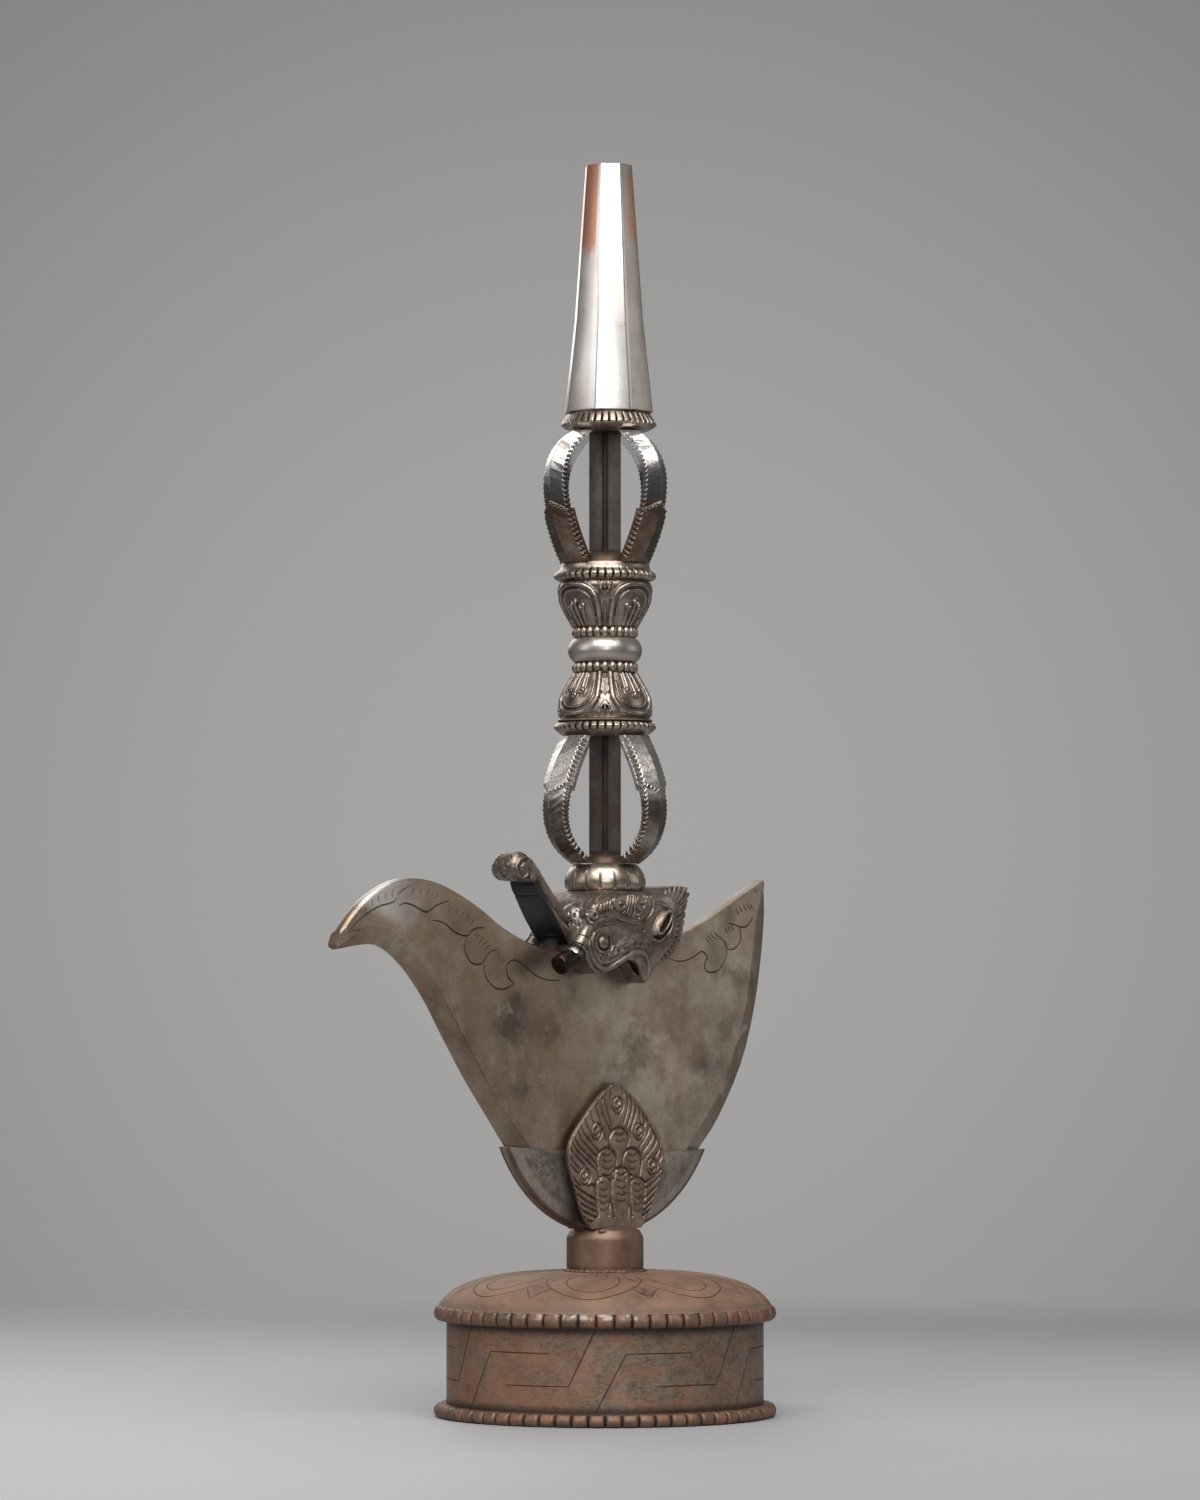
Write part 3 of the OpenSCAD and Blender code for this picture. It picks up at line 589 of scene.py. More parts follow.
def drum_paint(f, colour):
    """Streaky wear, orange rust mostly on the left, and painted shade under the rim and above the foot."""
    streak = f.noise(1.4, 6, 0.75, stretch=(1, 1, 2.4), move=(0.3, 0.2, 0.5))
    patches = f.noise(7, 7, 0.72, stretch=(1, 1, 1.7), move=(0.15, 0.7, 0.2))
    left = rightward(f).band(0.01, -0.03) * 0.13 + f.z.band(0.016, 0.004) * 0.06
    ragged = f.noise(1.3, 5, 0.7) * 0.002
    # Painted shade: a dark band just under the rim ring and just above the foot ring
    ring_join_shade = (f.z + ragged).band(RIM_LOW - 1.2 * MM, RIM_LOW + 0.6 * MM).most(
        (f.z - ragged).band(FOOT_TOP + 1.3 * MM, FOOT_TOP - 0.6 * MM))
    return f.layers(colour, (streak.band(0.5, 0.68) * 0.4, (0.27, 0.225, 0.18)),
                    (streak.band(0.5, 0.36) * 0.55, (0.05, 0.033, 0.024)),
                    ((patches + left).band(0.46, 0.74) * 0.6, (0.29, 0.13, 0.065)),
                    (ring_join_shade * 0.85, (0.03, 0.02, 0.015)))


def stem_paint(f, colour):
    """Reddish brown clouds, a dark weld at the stem's foot and bright brazing under the feather leaf."""
    red = f.noise(5, 6, 0.7, move=(0.5, 0.1, 0)).band(0.35, 0.62)
    brazed = f.z.band(0.0452, 0.0458) * f.near((0.0, -6.6, 46.2), 7).band(0.1, 0.5)
    return f.layers(colour, (red * 0.6, (0.2, 0.11, 0.075)),
                    (f.z.band(0.0336, 0.0326) * 0.85, (0.03, 0.022, 0.018)),
                    (brazed * 0.8, (0.8, 0.68, 0.52)))


def leaf_shadow(f):
    """A painted shadow cast by the feather leaf: 1 right beside the leaf's left edge, falling off to the
    left.
    """
    edge = f.x + 0.0155 - f.node("Math", {"operation": "ABSOLUTE"}, f.z - 0.062) * 0.3
    return (edge.band(-0.0065, -0.0008) * edge.band(0.004, 0.001)
            * f.z.band(0.079, 0.07) * f.z.band(0.044, 0.047))


def head_paint(f, colour):
    """Painted shade in the hollows of the ears and under the lip, bright metal on the cheek and the crown."""
    # Painted shade: the insides of the ears and the throat under the lip are darkened
    for side in (FRONT, BACK):
        inside = f.near((9.8, side * 7.6, 117.4), 3.2).band(0.1, 0.5)
        throat = f.near((0.5, side * 6.4, 106.4), 4.6).band(0.1, 0.6)
        colour = f.mix(inside.most(throat) * 0.8, colour, (0.04, 0.025, 0.018))
    spark = f.noise(0.9, 4, 0.7, move=(0.7, 0.2, 0.4)).band(0.52, 0.64)
    near = f.near((-14, -6, 119.5), 6) + f.near((-5, -8.5, 110), 5)
    return f.mix((spark * near).least(1) * 0.9, colour, (0.85, 0.8, 0.76))


def ring_highlight_paint(f, colour):
    """A painted highlight: bright patches along the top of the rim ring's front."""
    aside = rightward(f)
    # Painted highlight: only the top of the ring's side that faces the camera is brightened
    front = (f.x + f.y).band(-0.03, -0.054) * aside.band(0.026, 0.0) * aside.band(-0.03, -0.01)
    worn = front * f.z.band(0.0246, 0.0252) * f.noise(2.5, 5, 0.7).band(0.42, 0.6)
    return f.mix(worn * 0.6, colour, (0.58, 0.52, 0.45))


def dome_paint(f, colour):
    """The dome is dusted with orange rust and stained by a dark smudge near its edge."""
    dust = f.noise(7, 6, 0.7, move=(0.2, 0.6, 0)).band(0.3, 0.62) * f.z.band(0.0268, 0.0285)
    stain = f.near((-16.8, -29.2, 30.2), 5.5) * f.noise(2.2, 5, 0.7, warp=1.5).band(0.42, 0.56)
    return f.layers(colour, (dust * 0.6, (0.28, 0.155, 0.095)), (stain * 0.9, (0.05, 0.025, 0.018)))


def blade_paint(f, colour):
    """Brown patina on the left, dark smudges, a paler cloud in the middle and a bright, polished hook."""
    def on_face(x, z, reach):
        return f.near((x, -1.6, z), reach)

    cloud = f.noise(10, 7, 0.66, move=(0.1, 0.5, 0))
    left = f.x.band(0.0, -0.04) * f.noise(12, 6, 0.65, move=(0.4, 0, 0.2)).band(0.3, 0.6)
    pale = on_face(14, 88, 30).most(on_face(42, 107, 16)).most(on_face(-66, 118, 18))
    fleck = f.noise(1.1, 5, 0.75, move=(0.4, 0.2, 0.6)).band(0.56, 0.68)
    smudge = f.noise(5, 6, 0.72, move=(0.9, 0, 0.1)).band(0.36, 0.58)
    near = (on_face(-32, 94.5, 11) * 1.6 + on_face(-21, 92, 8) * 1.5 + on_face(-27, 81, 12)
            + on_face(31.5, 83, 7) * 0.8 + on_face(15, 94.5, 6) * 0.5)
    warm = f.noise(16, 6, 0.7, move=(0.2, 0.6, 0.3)).band(0.46, 0.62)
    spots = f.noise(0.9, 3, 0.6, move=(0.1, 0.7, 0.5)).band(0.64, 0.7) * f.noise(9, 4, 0.6).band(0.45, 0.6)
    tip = f.x.band(-0.06, -0.075) * (f.x * 0.42 + f.z).band(0.0855, 0.0895)
    return f.layers(colour, (left * 0.55, (0.2, 0.125, 0.075)),
                    (cloud.band(0.38, 0.62) * pale * 0.65, (0.54, 0.48, 0.41)),
                    (cloud.band(0.54, 0.34) * 0.45, (0.14, 0.105, 0.083)),
                    (fleck * 0.35, (0.09, 0.07, 0.06)),
                    ((smudge * near).least(1) * 0.72, (0.05, 0.043, 0.044)),
                    (warm * 0.4, (0.31, 0.2, 0.125)),
                    (spots * 0.7, (0.24, 0.1, 0.045)),
                    # Painted shadow of the feather leaf, beside its left edge
                    (leaf_shadow(f) * 0.5, (0.06, 0.045, 0.036)),
                    (tip * 0.75, (0.72, 0.69, 0.65)))


def sheath_paint(f, colour):
    """The upper cage has a painted white highlight at its top and a painted grey reflection below it, then
    brown; the lower one darkens to its foot.
    """
    patch = f.noise(3, 5, 0.7).band(0.2, 0.6)
    # The grey band is a painted dark reflection, just below the upper cage's white top
    grey = f.z.band(0.2165, 0.2185) * (f.z + f.noise(4, 3, 0.5) * 0.004).band(0.2297, 0.2267)
    upper = f.z.band(0.2195, 0.2165) * f.z.band(0.19, 0.2)
    lower = f.z.band(0.1475, 0.1455)
    copper = f.near((-15.5, 0.0, 232.5), 4) * f.noise(1.5, 4, 0.6).band(0.35, 0.6)
    # Painted light on the upper cage: a white highlight at its top, then the dark grey reflection below it
    return f.layers(colour, (f.z.band(0.2265, 0.229) * 0.7, (0.86, 0.84, 0.82)),
                    (grey * 0.8, (0.1, 0.105, 0.12)),
                    (upper * (0.55 + patch * 0.4), (0.12, 0.07, 0.042)),
                    (lower * (0.45 + patch * 0.5), (0.15, 0.115, 0.09)),
                    (copper * 0.8, (0.45, 0.2, 0.1)))


def spike_paint(f, colour):
    """Painted shade on the side facets, darkest on the right; copper shows at the top of the side facets, and
    small brown smudges near the foot.
    """
    aside = rightward(f) - 0.0012
    wide = (high("spike").z - f.z) * 0.044 + 0.0026  # half the width of the facet that faces the camera
    left, right = (aside + wide).band(0.0003, -0.0003), (aside - wide).band(-0.0003, 0.0003)
    ragged = f.z + f.noise(2.5, 6, 0.75, move=(0.5, 0.3, 0.1)) * 0.012
    grain = f.noise(0.6, 4, 0.7)
    stain = f.noise(6, 6, 0.7, stretch=(1, 1, 0.6)).band(0.3, 0.7)
    far_side = ((aside - wide).band(0.0006, 0.0016) * ragged.band(0.285, 0.289)
                * f.z.band(0.2985, 0.2955) * 0.7)
    copper = (left * ragged.band(0.2815, 0.286)).most(far_side)
    smudge = f.noise(1.6, 5, 0.7, move=(0.2, 0.2, 0.7)).band(0.58, 0.72) * f.z.band(0.256, 0.243)
    # Painted shade: the left facet is dulled to a pinkish grey and the right facet darkened further, with
    # stain-like variation
    return f.layers(colour, (left * (0.4 + stain * 0.3), (0.52, 0.46, 0.43)),
                    (right * (0.7 + stain * 0.3), (0.36, 0.31, 0.265)),
                    (copper * (0.7 + grain * 0.3), (0.5, 0.2, 0.115)),
                    (smudge * 0.6, (0.3, 0.17, 0.08)))


def tang_paint(f, colour):
    """A dark line runs down the tang's near corner, with gold scratches near the top and brown bosses."""
    line = rightward(f).band(0.0011, 0.0004) * rightward(f).band(-0.0011, -0.0004)
    red = f.noise(4, 5, 0.6).band(0.4, 0.6) * f.z.band(0.135, 0.14) * f.z.band(0.158, 0.152)
    boss = (f.z.band(0.135, 0.1338) * f.z.band(0.1305, 0.131)).most(
        f.z.band(0.207, 0.2056) * f.z.band(0.202, 0.203))
    scratch = f.noise(0.5, 3, 0.5, stretch=(1, 1, 0.16), move=(0.4, 0.3, 0.2)).band(0.66, 0.72)
    return f.layers(colour, (line * f.z.band(0.19, 0.2) * 0.9, (0.032, 0.018, 0.012)),
                    (line * f.z.band(0.17, 0.165) * 0.8, (0.02, 0.018, 0.016)),
                    (red * 0.5, (0.15, 0.075, 0.05)), (boss * 0.8, (0.13, 0.085, 0.06)),
                    (scratch * f.z.band(0.218, 0.226), (0.45, 0.3, 0.13)))


def cradle_paint(f, colour):
    """Dark freckles and smudges, a paler hatched band along the rim, a brown brazed patch on the left, the
    feather leaf's painted shadow and a painted highlight along the top.
    """
    away = f.from_axis(0, CRADLE_MID)
    fleck = f.noise(0.8, 4, 0.7, move=(0.2, 0.9, 0.4)).band(0.54, 0.64) * f.noise(6, 4, 0.6).band(0.35, 0.6)
    smudge = f.noise(4, 5, 0.7, move=(0.6, 0.1, 0.2)).band(0.5, 0.66)
    hatch = f.noise(0.7, 4, 0.7, stretch=(1, 1, 0.35)).band(0.4, 0.6)
    brazed = f.near((-33.5, -2.5, 60.5), 5) * away.band(0.0345, 0.036)
    return f.layers(colour, (fleck * 0.7, (0.05, 0.045, 0.045)), (smudge * 0.6, (0.08, 0.075, 0.078)),
                    (away.band(0.0344, 0.0354) * (0.3 + hatch * 0.3), (0.46, 0.4, 0.34)),
                    # Painted shadow of the feather leaf, beside its left edge
                    (leaf_shadow(f) * 0.9, (0.03, 0.022, 0.018)),
                    (brazed * 0.8, (0.17, 0.085, 0.035)),
                    # Painted highlight along the cradle's top edge
                    (f.z.band(0.0690, 0.0694) * 0.7, (0.8, 0.76, 0.7)),
                    (away.band(0.0368, 0.0373) * 0.75, (0.08, 0.04, 0.02)))


def trunk_underside_shade(f, colour):
    """The trunk's underside is painted in shade, dull blue-grey and black where it meets the blade; the roll
    stays bright.
    """
    roll = f.from_axis(-0.0309, 0.1303).band(0.0043, 0.005)
    # Painted shade on the underside of the trunk, darkest where it meets the blade
    under = (f.x * 0.83 + f.z * 0.56).band(0.0497, 0.0487) * roll
    return f.layers(colour, (under * 0.9, (0.024, 0.025, 0.028)),
                    (under * f.z.band(0.121, 0.113) * 0.95, (0.004, 0.004, 0.004)))


def tusk_paint(f, colour):
    """The tusks' stubs are dark brown, with an orange stain at their ends."""
    for side in (FRONT, BACK):
        end = f.near((-22, side * 8.5, 107.2), 8.4).band(0.14, 0.22)
        stain = f.near((-24.5, side * 8.5, 109), 3) * f.noise(1.5, 4, 0.6).band(0.35, 0.6)
        colour = f.layers(colour, (end, (0.028, 0.02, 0.015)), (stain * 0.3, (0.16, 0.07, 0.03)))
    return colour


STAND_IRON = iron("stand_iron", (0.26, 0.195, 0.15), (0.165, 0.118, 0.085), (0.07, 0.046, 0.032), metal=0.55,
                  rust=(0.24, 0.09, 0.04), rust_share=0.2, rough=(0.42, 0.7), cloud=7, paint=drum_paint)
STEM_IRON = iron("stem_iron", (0.28, 0.2, 0.15), (0.18, 0.12, 0.085), (0.08, 0.05, 0.035), metal=0.7,
                 rust=(0.25, 0.1, 0.06), rust_share=0.2, rough=(0.34, 0.6), cloud=6, paint=stem_paint)
RING_IRON = iron("ring_iron", (0.24, 0.165, 0.12), (0.16, 0.1, 0.068), (0.07, 0.043, 0.03),
                 rust=(0.3, 0.125, 0.06), rust_share=0.42, rough=(0.36, 0.58), cloud=6, shine=0.45,
                 metal=0.65, paint=ring_highlight_paint)
DOME_IRON = iron("dome_iron", (0.225, 0.15, 0.105), (0.165, 0.105, 0.07), (0.075, 0.047, 0.032),
                 rust=(0.24, 0.115, 0.065), rust_share=0.3, rough=(0.55, 0.75), cloud=8, metal=0.35,
                 shine=0.2, paint=dome_paint)
CRADLE_STEEL = iron("cradle_steel", (0.42, 0.37, 0.32), (0.28, 0.24, 0.2), (0.07, 0.058, 0.05),
                    rust_share=0.1, cloud=5, shine=0.9, paint=cradle_paint)
SEAM_BRASS = iron("seam_brass", (0.36, 0.3, 0.24), (0.24, 0.19, 0.145), (0.08, 0.05, 0.03), rust_share=0.2,
                  cloud=4, rust=(0.16, 0.075, 0.03))
FEATHER_IRON = iron("feather_iron", (0.5, 0.4, 0.32), (0.28, 0.2, 0.15), (0.08, 0.052, 0.04),
                    rust=(0.3, 0.12, 0.08), rust_share=0.24, cloud=6, rough=(0.28, 0.5), soot=0.98, reach=0.6,
                    shine=0.8)
BLADE_STEEL = iron("blade_steel", (0.5, 0.425, 0.345), (0.325, 0.26, 0.2), (0.13, 0.098, 0.076),
                   rust_share=0.02, rough=(0.3, 0.5), cloud=12, soot=0.98, reach=1.3, shine=0.95, grain=0.02,
                   paint=blade_paint)
HEAD_IRON = iron("head_iron", (0.52, 0.45, 0.39), (0.25, 0.195, 0.155), (0.06, 0.043, 0.034),
                 rust_share=0.12, cloud=5, rough=(0.26, 0.44), soot=0.99, reach=1.1, shine=1.0,
                 bright=(0.75, 0.7, 0.65), paint=head_paint)
TRUNK_IRON = iron("trunk_iron", (0.4, 0.35, 0.3), (0.22, 0.175, 0.145), (0.06, 0.048, 0.04),
                  rust_share=0.12, cloud=5, rough=(0.26, 0.44), soot=0.95, reach=0.7, shine=0.9,
                  paint=trunk_underside_shade)
TUSK_IRON = iron("tusk_iron", (0.46, 0.42, 0.37), (0.28, 0.235, 0.19), (0.08, 0.062, 0.048), rust_share=0.1,
                 cloud=5, rough=(0.22, 0.4), soot=0.97, reach=0.7, shine=0.9, paint=tusk_paint)
TANG_IRON = iron("tang_iron", (0.24, 0.215, 0.2), (0.16, 0.14, 0.13), (0.08, 0.07, 0.064), rust_share=0.12,
                 cloud=7, paint=tang_paint)
SILVERED = iron("silvered_iron", (0.6, 0.54, 0.47), (0.4, 0.325, 0.26), (0.12, 0.085, 0.062),
                rust_share=0.14, cloud=5, rough=(0.2, 0.38), soot=0.98, reach=0.8, shine=1.0,
                bright=(0.85, 0.8, 0.73), grain=0.02)
LOTUS_SILVER = iron("lotus_silver", (0.52, 0.45, 0.4), (0.3, 0.24, 0.2), (0.08, 0.06, 0.045),
                    rust_share=0.1, cloud=5, rough=(0.18, 0.36), soot=0.99, reach=0.9, shine=1.0,
                    bright=(0.85, 0.81, 0.76), grain=0.02)
BULB_SILVER = iron("bulb_silver", (0.56, 0.52, 0.47), (0.45, 0.405, 0.36), (0.26, 0.21, 0.175),
                   rust_share=-0.2, cloud=6, rough=(0.3, 0.44), soot=0.9, shine=0.4, grain=0.012)
PRONG_SILVER = iron("prong_silver", (0.64, 0.61, 0.57), (0.5, 0.465, 0.43), (0.24, 0.19, 0.155),
                    rust_share=0.0, grain=0.012, cloud=7, rough=(0.16, 0.32), soot=0.97, reach=0.7,
                    shine=0.9, bright=(0.85, 0.82, 0.78), paint=sheath_paint)
SPIKE_SILVER = iron("spike_silver", (0.72, 0.7, 0.67), (0.66, 0.63, 0.6), (0.5, 0.45, 0.4), rust_share=-0.3,
                    cloud=16, rough=(0.22, 0.36), soot=0.3, shine=0.3, grain=0.004, paint=spike_paint)

# The stand: rope rings, drum, dome and stem

DRUM_R = radius_of("stand_drum")
DRUM_H = high("stand_drum").z
RIM_R = radius_of("stand_rim_ring")
DOME_RISE = high("stand_dome").z - DRUM_H


def notched(piece, notches, cuts, test):
    """Files notches into a ring that is turned with as many sides a notch as there are cuts.
    The cuts are the depths of a notch, in mm, side by side."""
    widest = max(math.hypot(v.co.x, v.co.y) for v in piece.data.vertices)
    for column, depth in enumerate(cuts):
        def in_notch(p):
            turn = round(math.degrees(math.atan2(p.y, p.x)) / 360 * notches * len(cuts))
            return turn % len(cuts) == column and test(p)
        if depth:
            select(piece, "VERT", in_notch)
            shrink = 1 - depth * MM / widest
            bpy.ops.transform.resize(value=(shrink, shrink, 1), center_override=(0, 0, 0))
            leave_edit()
    return piece


ROPE_CUTS = (1.0, 0.3, 0.06, 0, 0, 0, 0, 0, 0, 0, 0.06, 0.3)


def rope_ring(node, notches, finish, crown, z0, z1):
    """A worn half-round ring round the drum, cut across by hand at even steps.
    Its top draws in to the crown."""
    r, h = radius_of(node), z1 - z0
    section = [(2.6, 0.04), (1.5, 0), (0.75, 0.05), (0.22, 0.2), (0, 0.4), (0, 0.6),
               (0.1 + 0.2 * crown, 0.8), (0.5 * crown, 0.93), (crown, 1)]
    profile = [(r - inset * MM, z0 + h * up) for inset, up in section]
    ring = lathe(node + "_rope", [(DRUM_R - 0.2 * MM, z0 + 0.1 * MM), *profile, (DRUM_R - 0.2 * MM, z1)],
                 notches * len(ROPE_CUTS), closed=True)
    notched(ring, notches, ROPE_CUTS, lambda p: p.xy.length > DRUM_R + 1.1 * MM)
    dice = random.Random(notches)
    for k in range(notches):
        if dice.random() < 0.4:
            turn = 360 * (k + dice.uniform(0.2, 0.8)) / notches
            chip = ball("chip", around((r + 0.4 * MM, 0, z0 + h * dice.uniform(0.1, 0.9)), turn), (0.5,) * 3)
            cut(ring, chip)
    settle(ring, node, finish, 35)


def fret_lines():
    """The leaning key pattern scratched round the drum wall."""
    lower, upper, corner_low, corner_high = FOOT_TOP, RIM_LOW, 9.3 * MM, 16.9 * MM
    lines = []
    for a in (-45, 7.5, 64, 114, 164, 215, 265):
        for path in ([(a - 12, lower - MM), (a, corner_high), (a + 25, corner_high)],
                     [(a - 10, upper + MM), (a - 20.5, corner_low), (a - 45, corner_low)]):
            for (turn0, z0), (turn1, z1) in zip(path, path[1:]):
                steps = max(2, round(abs(turn1 - turn0) / 2.5))
                lines.append([around((DRUM_R, 0, z0 + (z1 - z0) * i / steps),
                                     FACING + turn0 + (turn1 - turn0) * i / steps)
                              for i in range(steps + 1)])
    return lines


def stand_drum():
    """The drum's wall with its leaning key pattern."""
    inner = DRUM_R - 1.5 * MM
    z1 = DRUM_H - 0.05 * MM
    drum = lathe("drum_wall", [(inner, 0), (DRUM_R, 0), (DRUM_R, z1), (inner, z1)], 180, closed=True)
    engrave(drum, fret_lines(), 0.21, 0.8)
    settle(drum, "stand_drum", STAND_IRON, 40)


DOME_CURVE = bow((radius_of("stem_collar") + 2 * MM, DOME_RISE), (DRUM_R * 0.74, DOME_RISE),
                 (DRUM_R * 0.97, DOME_RISE * 0.68), (RIM_R - MM, 0), 20)


def on_dome(out, across, turn):
    """A point on the dome at a distance out from the axis and across from the line at a turn."""
    z = DOME_RISE
    for (r0, z0), (r1, z1) in zip(DOME_CURVE, DOME_CURVE[1:]):
        if r0 <= out <= r1:
            z = z0 + (z1 - z0) * (out - r0) / (r1 - r0)
    return around((out, 0, DRUM_H + z), FACING + turn + math.degrees(across / out))


def petal_lines(turn):
    """One lotus petal on the dome: two outlines, ribs inside and a leaf tip peeping out beside it."""
    outer = [(12, 3), (19, 8.6), (27, 11.4), (33, 9.2), (36, 4.4), (36.8, 0)]
    inner = [(13, 1.8), (20, 4.6), (27, 6.3), (32, 4.8), (34.2, 0)]
    lines = []
    for half in (outer, inner):
        whole = half + [(out, -across) for out, across in reversed(half[:-1])]
        lines.append([on_dome(p.x * MM, p.y * MM, turn)
                      for p in curve_points([(out, across, 0) for out, across in whole], 5)])
    for across in (-2.6, 0, 2.6):
        lines.append([on_dome((13.5 + i * 2.2) * MM, across * (0.5 + i * 0.17) * MM, turn) for i in range(5)])
    for side in (-1, 1):
        lines.append([on_dome((32.5 + i * 1.4) * MM, 0, turn + 22.5 + side * (5.5 - 1.8 * i))
                      for i in range(4)])
    return lines


def stand_dome():
    """The dome, turned hollow with a hole for the screw, with eight lotus petals scratched on it."""
    wall = 1.45 * MM
    hole = 2.2 * MM
    outside = [(hole, DRUM_H + DOME_RISE), *[(r, DRUM_H + z) for r, z in DOME_CURVE]]
    inside = [(max(r - wall * 0.9, hole), DRUM_H + max(z - wall, 0)) for r, z in reversed(DOME_CURVE)]
    inside[0] = (DRUM_R - 1.4 * MM, DRUM_H)
    dome = lathe("lotus_dome", [*outside, *inside, (hole, DRUM_H + DOME_RISE - wall)],
                 360, closed=True)
    for k in range(8):
        engrave(dome, petal_lines(45 * k - 6), 0.17, 0.4)
    settle(dome, "stand_dome", DOME_IRON, 40)


def stem():
    """The round stem with its worn bevel, a weld round its foot and brazing under the feather leaves."""
    z0, z1, r = low("stem_collar").z, high("stem_collar").z, radius_of("stem_collar")
    post = lathe("stem_post", [(2.1 * MM, z0), (r + 0.5 * MM, z0), (r + 0.4 * MM, z0 + 0.5 * MM),
                               (r, z0 + 1.1 * MM), (r, z1 - 2.3 * MM), (r - 0.2 * MM, z1 - 1.7 * MM),
                               (r - MM, z1 - 0.3 * MM), (r - 1.6 * MM, z1), (2.1 * MM, z1)], 96, closed=True)
    lumps = [ball("brazing", (0.6 * MM * side, side * 5.1 * MM, z1 - 0.4 * MM), (6.6, 1.7, 1.1))
             for side in (FRONT, BACK)]
    dice = random.Random(5)
    weld = [ball("weld", around((r + 0.1 * MM, 0, z0 + 0.25 * MM), k * 9 + dice.uniform(-3, 3)),
                 (dice.uniform(0.4, 0.8), dice.uniform(0.4, 0.9), dice.uniform(0.3, 0.6)))
            for k in range(40)]
    post = fused(joined([post, *lumps, *weld], "stem_post"), 0.28, 1)
    seam = [around((r + 0.3 * MM, 0, z0 + dice.uniform(0.7, 1.0) * MM), k * 6) for k in range(61)]
    return chase(post, [seam], 0.45, 0.3)


rope_ring("stand_foot_ring", 64, RING_IRON, 1.3, low("stand_foot_ring").z, FOOT_TOP)
rope_ring("stand_rim_ring", 60, RING_IRON, 0.95, RIM_LOW, high("stand_rim_ring").z)
stand_drum()
stand_dome()
settle(stem(), "stem_collar", STEM_IRON)

# The cradle and its feather leaves

def cradle():
    """The cradle's two plates and the strip that joins them, with worn edges."""
    for node in ("cradle_front_plate", "cradle_back_plate"):
        plate = bevelled(copy_of(node, node + "_worn"), 0.16, 2, 40)
        settle(plate, node, CRADLE_STEEL)
    strip = bevelled(copy_of("cradle_edge_strip", "cradle_seam"), 0.12, 2, 50)
    settle(strip, "cradle_edge_strip", SEAM_BRASS)


# The feather leaf in mm across and up: eyes; feathers as x, top, half width, shoulder, foot; barbs
LEAF_EYES = [(0.5, 73.9), (-6.7, 67.8), (7.7, 67.5), (-10.6, 57.2), (12.1, 59.1)]
LEAF_FEATHERS = [(0.8, 68.6, 3.3, 66.2, 63.3), (-3.4, 63.8, 3.2, 61.4, 56.3), (5.2, 63.6, 3.1, 61.2, 56.1),
                 (1.4, 59.1, 3.1, 57, 47.3), (-4.5, 57.1, 2.4, 55.3, 47.6), (7, 56.6, 2.4, 55, 47.3)]
LEAF_BARBS = [
    [(-2, 78.3), (-1.7, 76.1)], [(-3.8, 76.6), (-3.1, 72.8), (-1.4, 68.8)],
    [(-5, 75.8), (-4.8, 72.8), (-3.7, 70.5), (-2, 68.1)],
    [(-7, 74), (-6.2, 71.7), (-5, 69.3), (-3.4, 65.7)], [(-8.9, 72.5), (-8.1, 70.5), (-7.6, 69.9)],
    [(-10.6, 71.2), (-9.8, 69), (-8.8, 67.8)], [(-12, 69.4), (-10.9, 67.4), (-8.9, 65.4), (-6.2, 63.2)],
    [(-13.1, 68.3), (-11.7, 65.9), (-9.8, 64.3), (-6.7, 61.8)],
    [(-14.2, 66.9), (-12.5, 64.3), (-9.8, 62.3), (-7, 60.1)],
    [(-15, 65.5), (-13.1, 63.2), (-10.3, 61.1), (-7, 58.7)],
    [(-15.4, 64), (-13.6, 62), (-11.4, 60.4), (-10.4, 59.6)], [(-15.6, 62), (-14.2, 60.4), (-12.4, 59)],
    [(-15.6, 60.1), (-13.9, 58.7), (-12.6, 57.9)], [(-14.7, 57.3), (-13.1, 55.7), (-11.9, 55)],
    [(-13.9, 55), (-11.4, 53.5), (-8.7, 52.3), (-7, 51.4)], [(-13.1, 53), (-10.3, 51.4), (-7.2, 50.1)],
    [(-12.5, 51), (-9.8, 49.8), (-7, 48.7)], [(-11.9, 49.2), (-9.2, 48.2), (-7, 47.3)],
    [(-11.1, 47.5), (-9.8, 46.7), (-8.1, 46.4)], [(-9.7, 54.8), (-8.1, 55.2), (-7.2, 54.6)],
    [(1.9, 78.1), (2.3, 76.3)], [(3.1, 77.1), (3.9, 75.1), (3.6, 72.7), (2.3, 69.4)],
    [(4.5, 76.1), (5.3, 73.9), (4.8, 71.5), (3.5, 68.6)],
    [(6.2, 74.7), (6.7, 72.7), (5.9, 70.3), (4.7, 67.8)], [(7.6, 73.3), (8.1, 71.5), (8, 69.7)],
    [(9, 71.9), (9.6, 69.9), (9.4, 68.8)], [(10.1, 70.8), (11, 68.7), (10.4, 66.7), (7.8, 63.8)],
    [(11.5, 69), (12.4, 67), (11.5, 65.1), (8.6, 62.4)],
    [(12.7, 67.4), (13.5, 65.4), (12.4, 63.5), (9, 60.8)], [(14.1, 65.4), (14.7, 63.4), (13.2, 61.5)],
    [(15.2, 63), (15.3, 61.4), (14.4, 60.1)], [(15.2, 58.4), (13.2, 56.9), (11, 55.9), (9.6, 55.1)],
    [(14.8, 56.7), (12.1, 54.9), (9.6, 53.8)], [(14.3, 54.7), (11.5, 52.8), (9.6, 51.6)],
    [(13.6, 52.7), (11, 50.8), (9.4, 50)], [(12.8, 50.8), (10.4, 49.2), (9.4, 48.7)],
    [(12.1, 49), (9.8, 47.7), (8.6, 46.9)]]


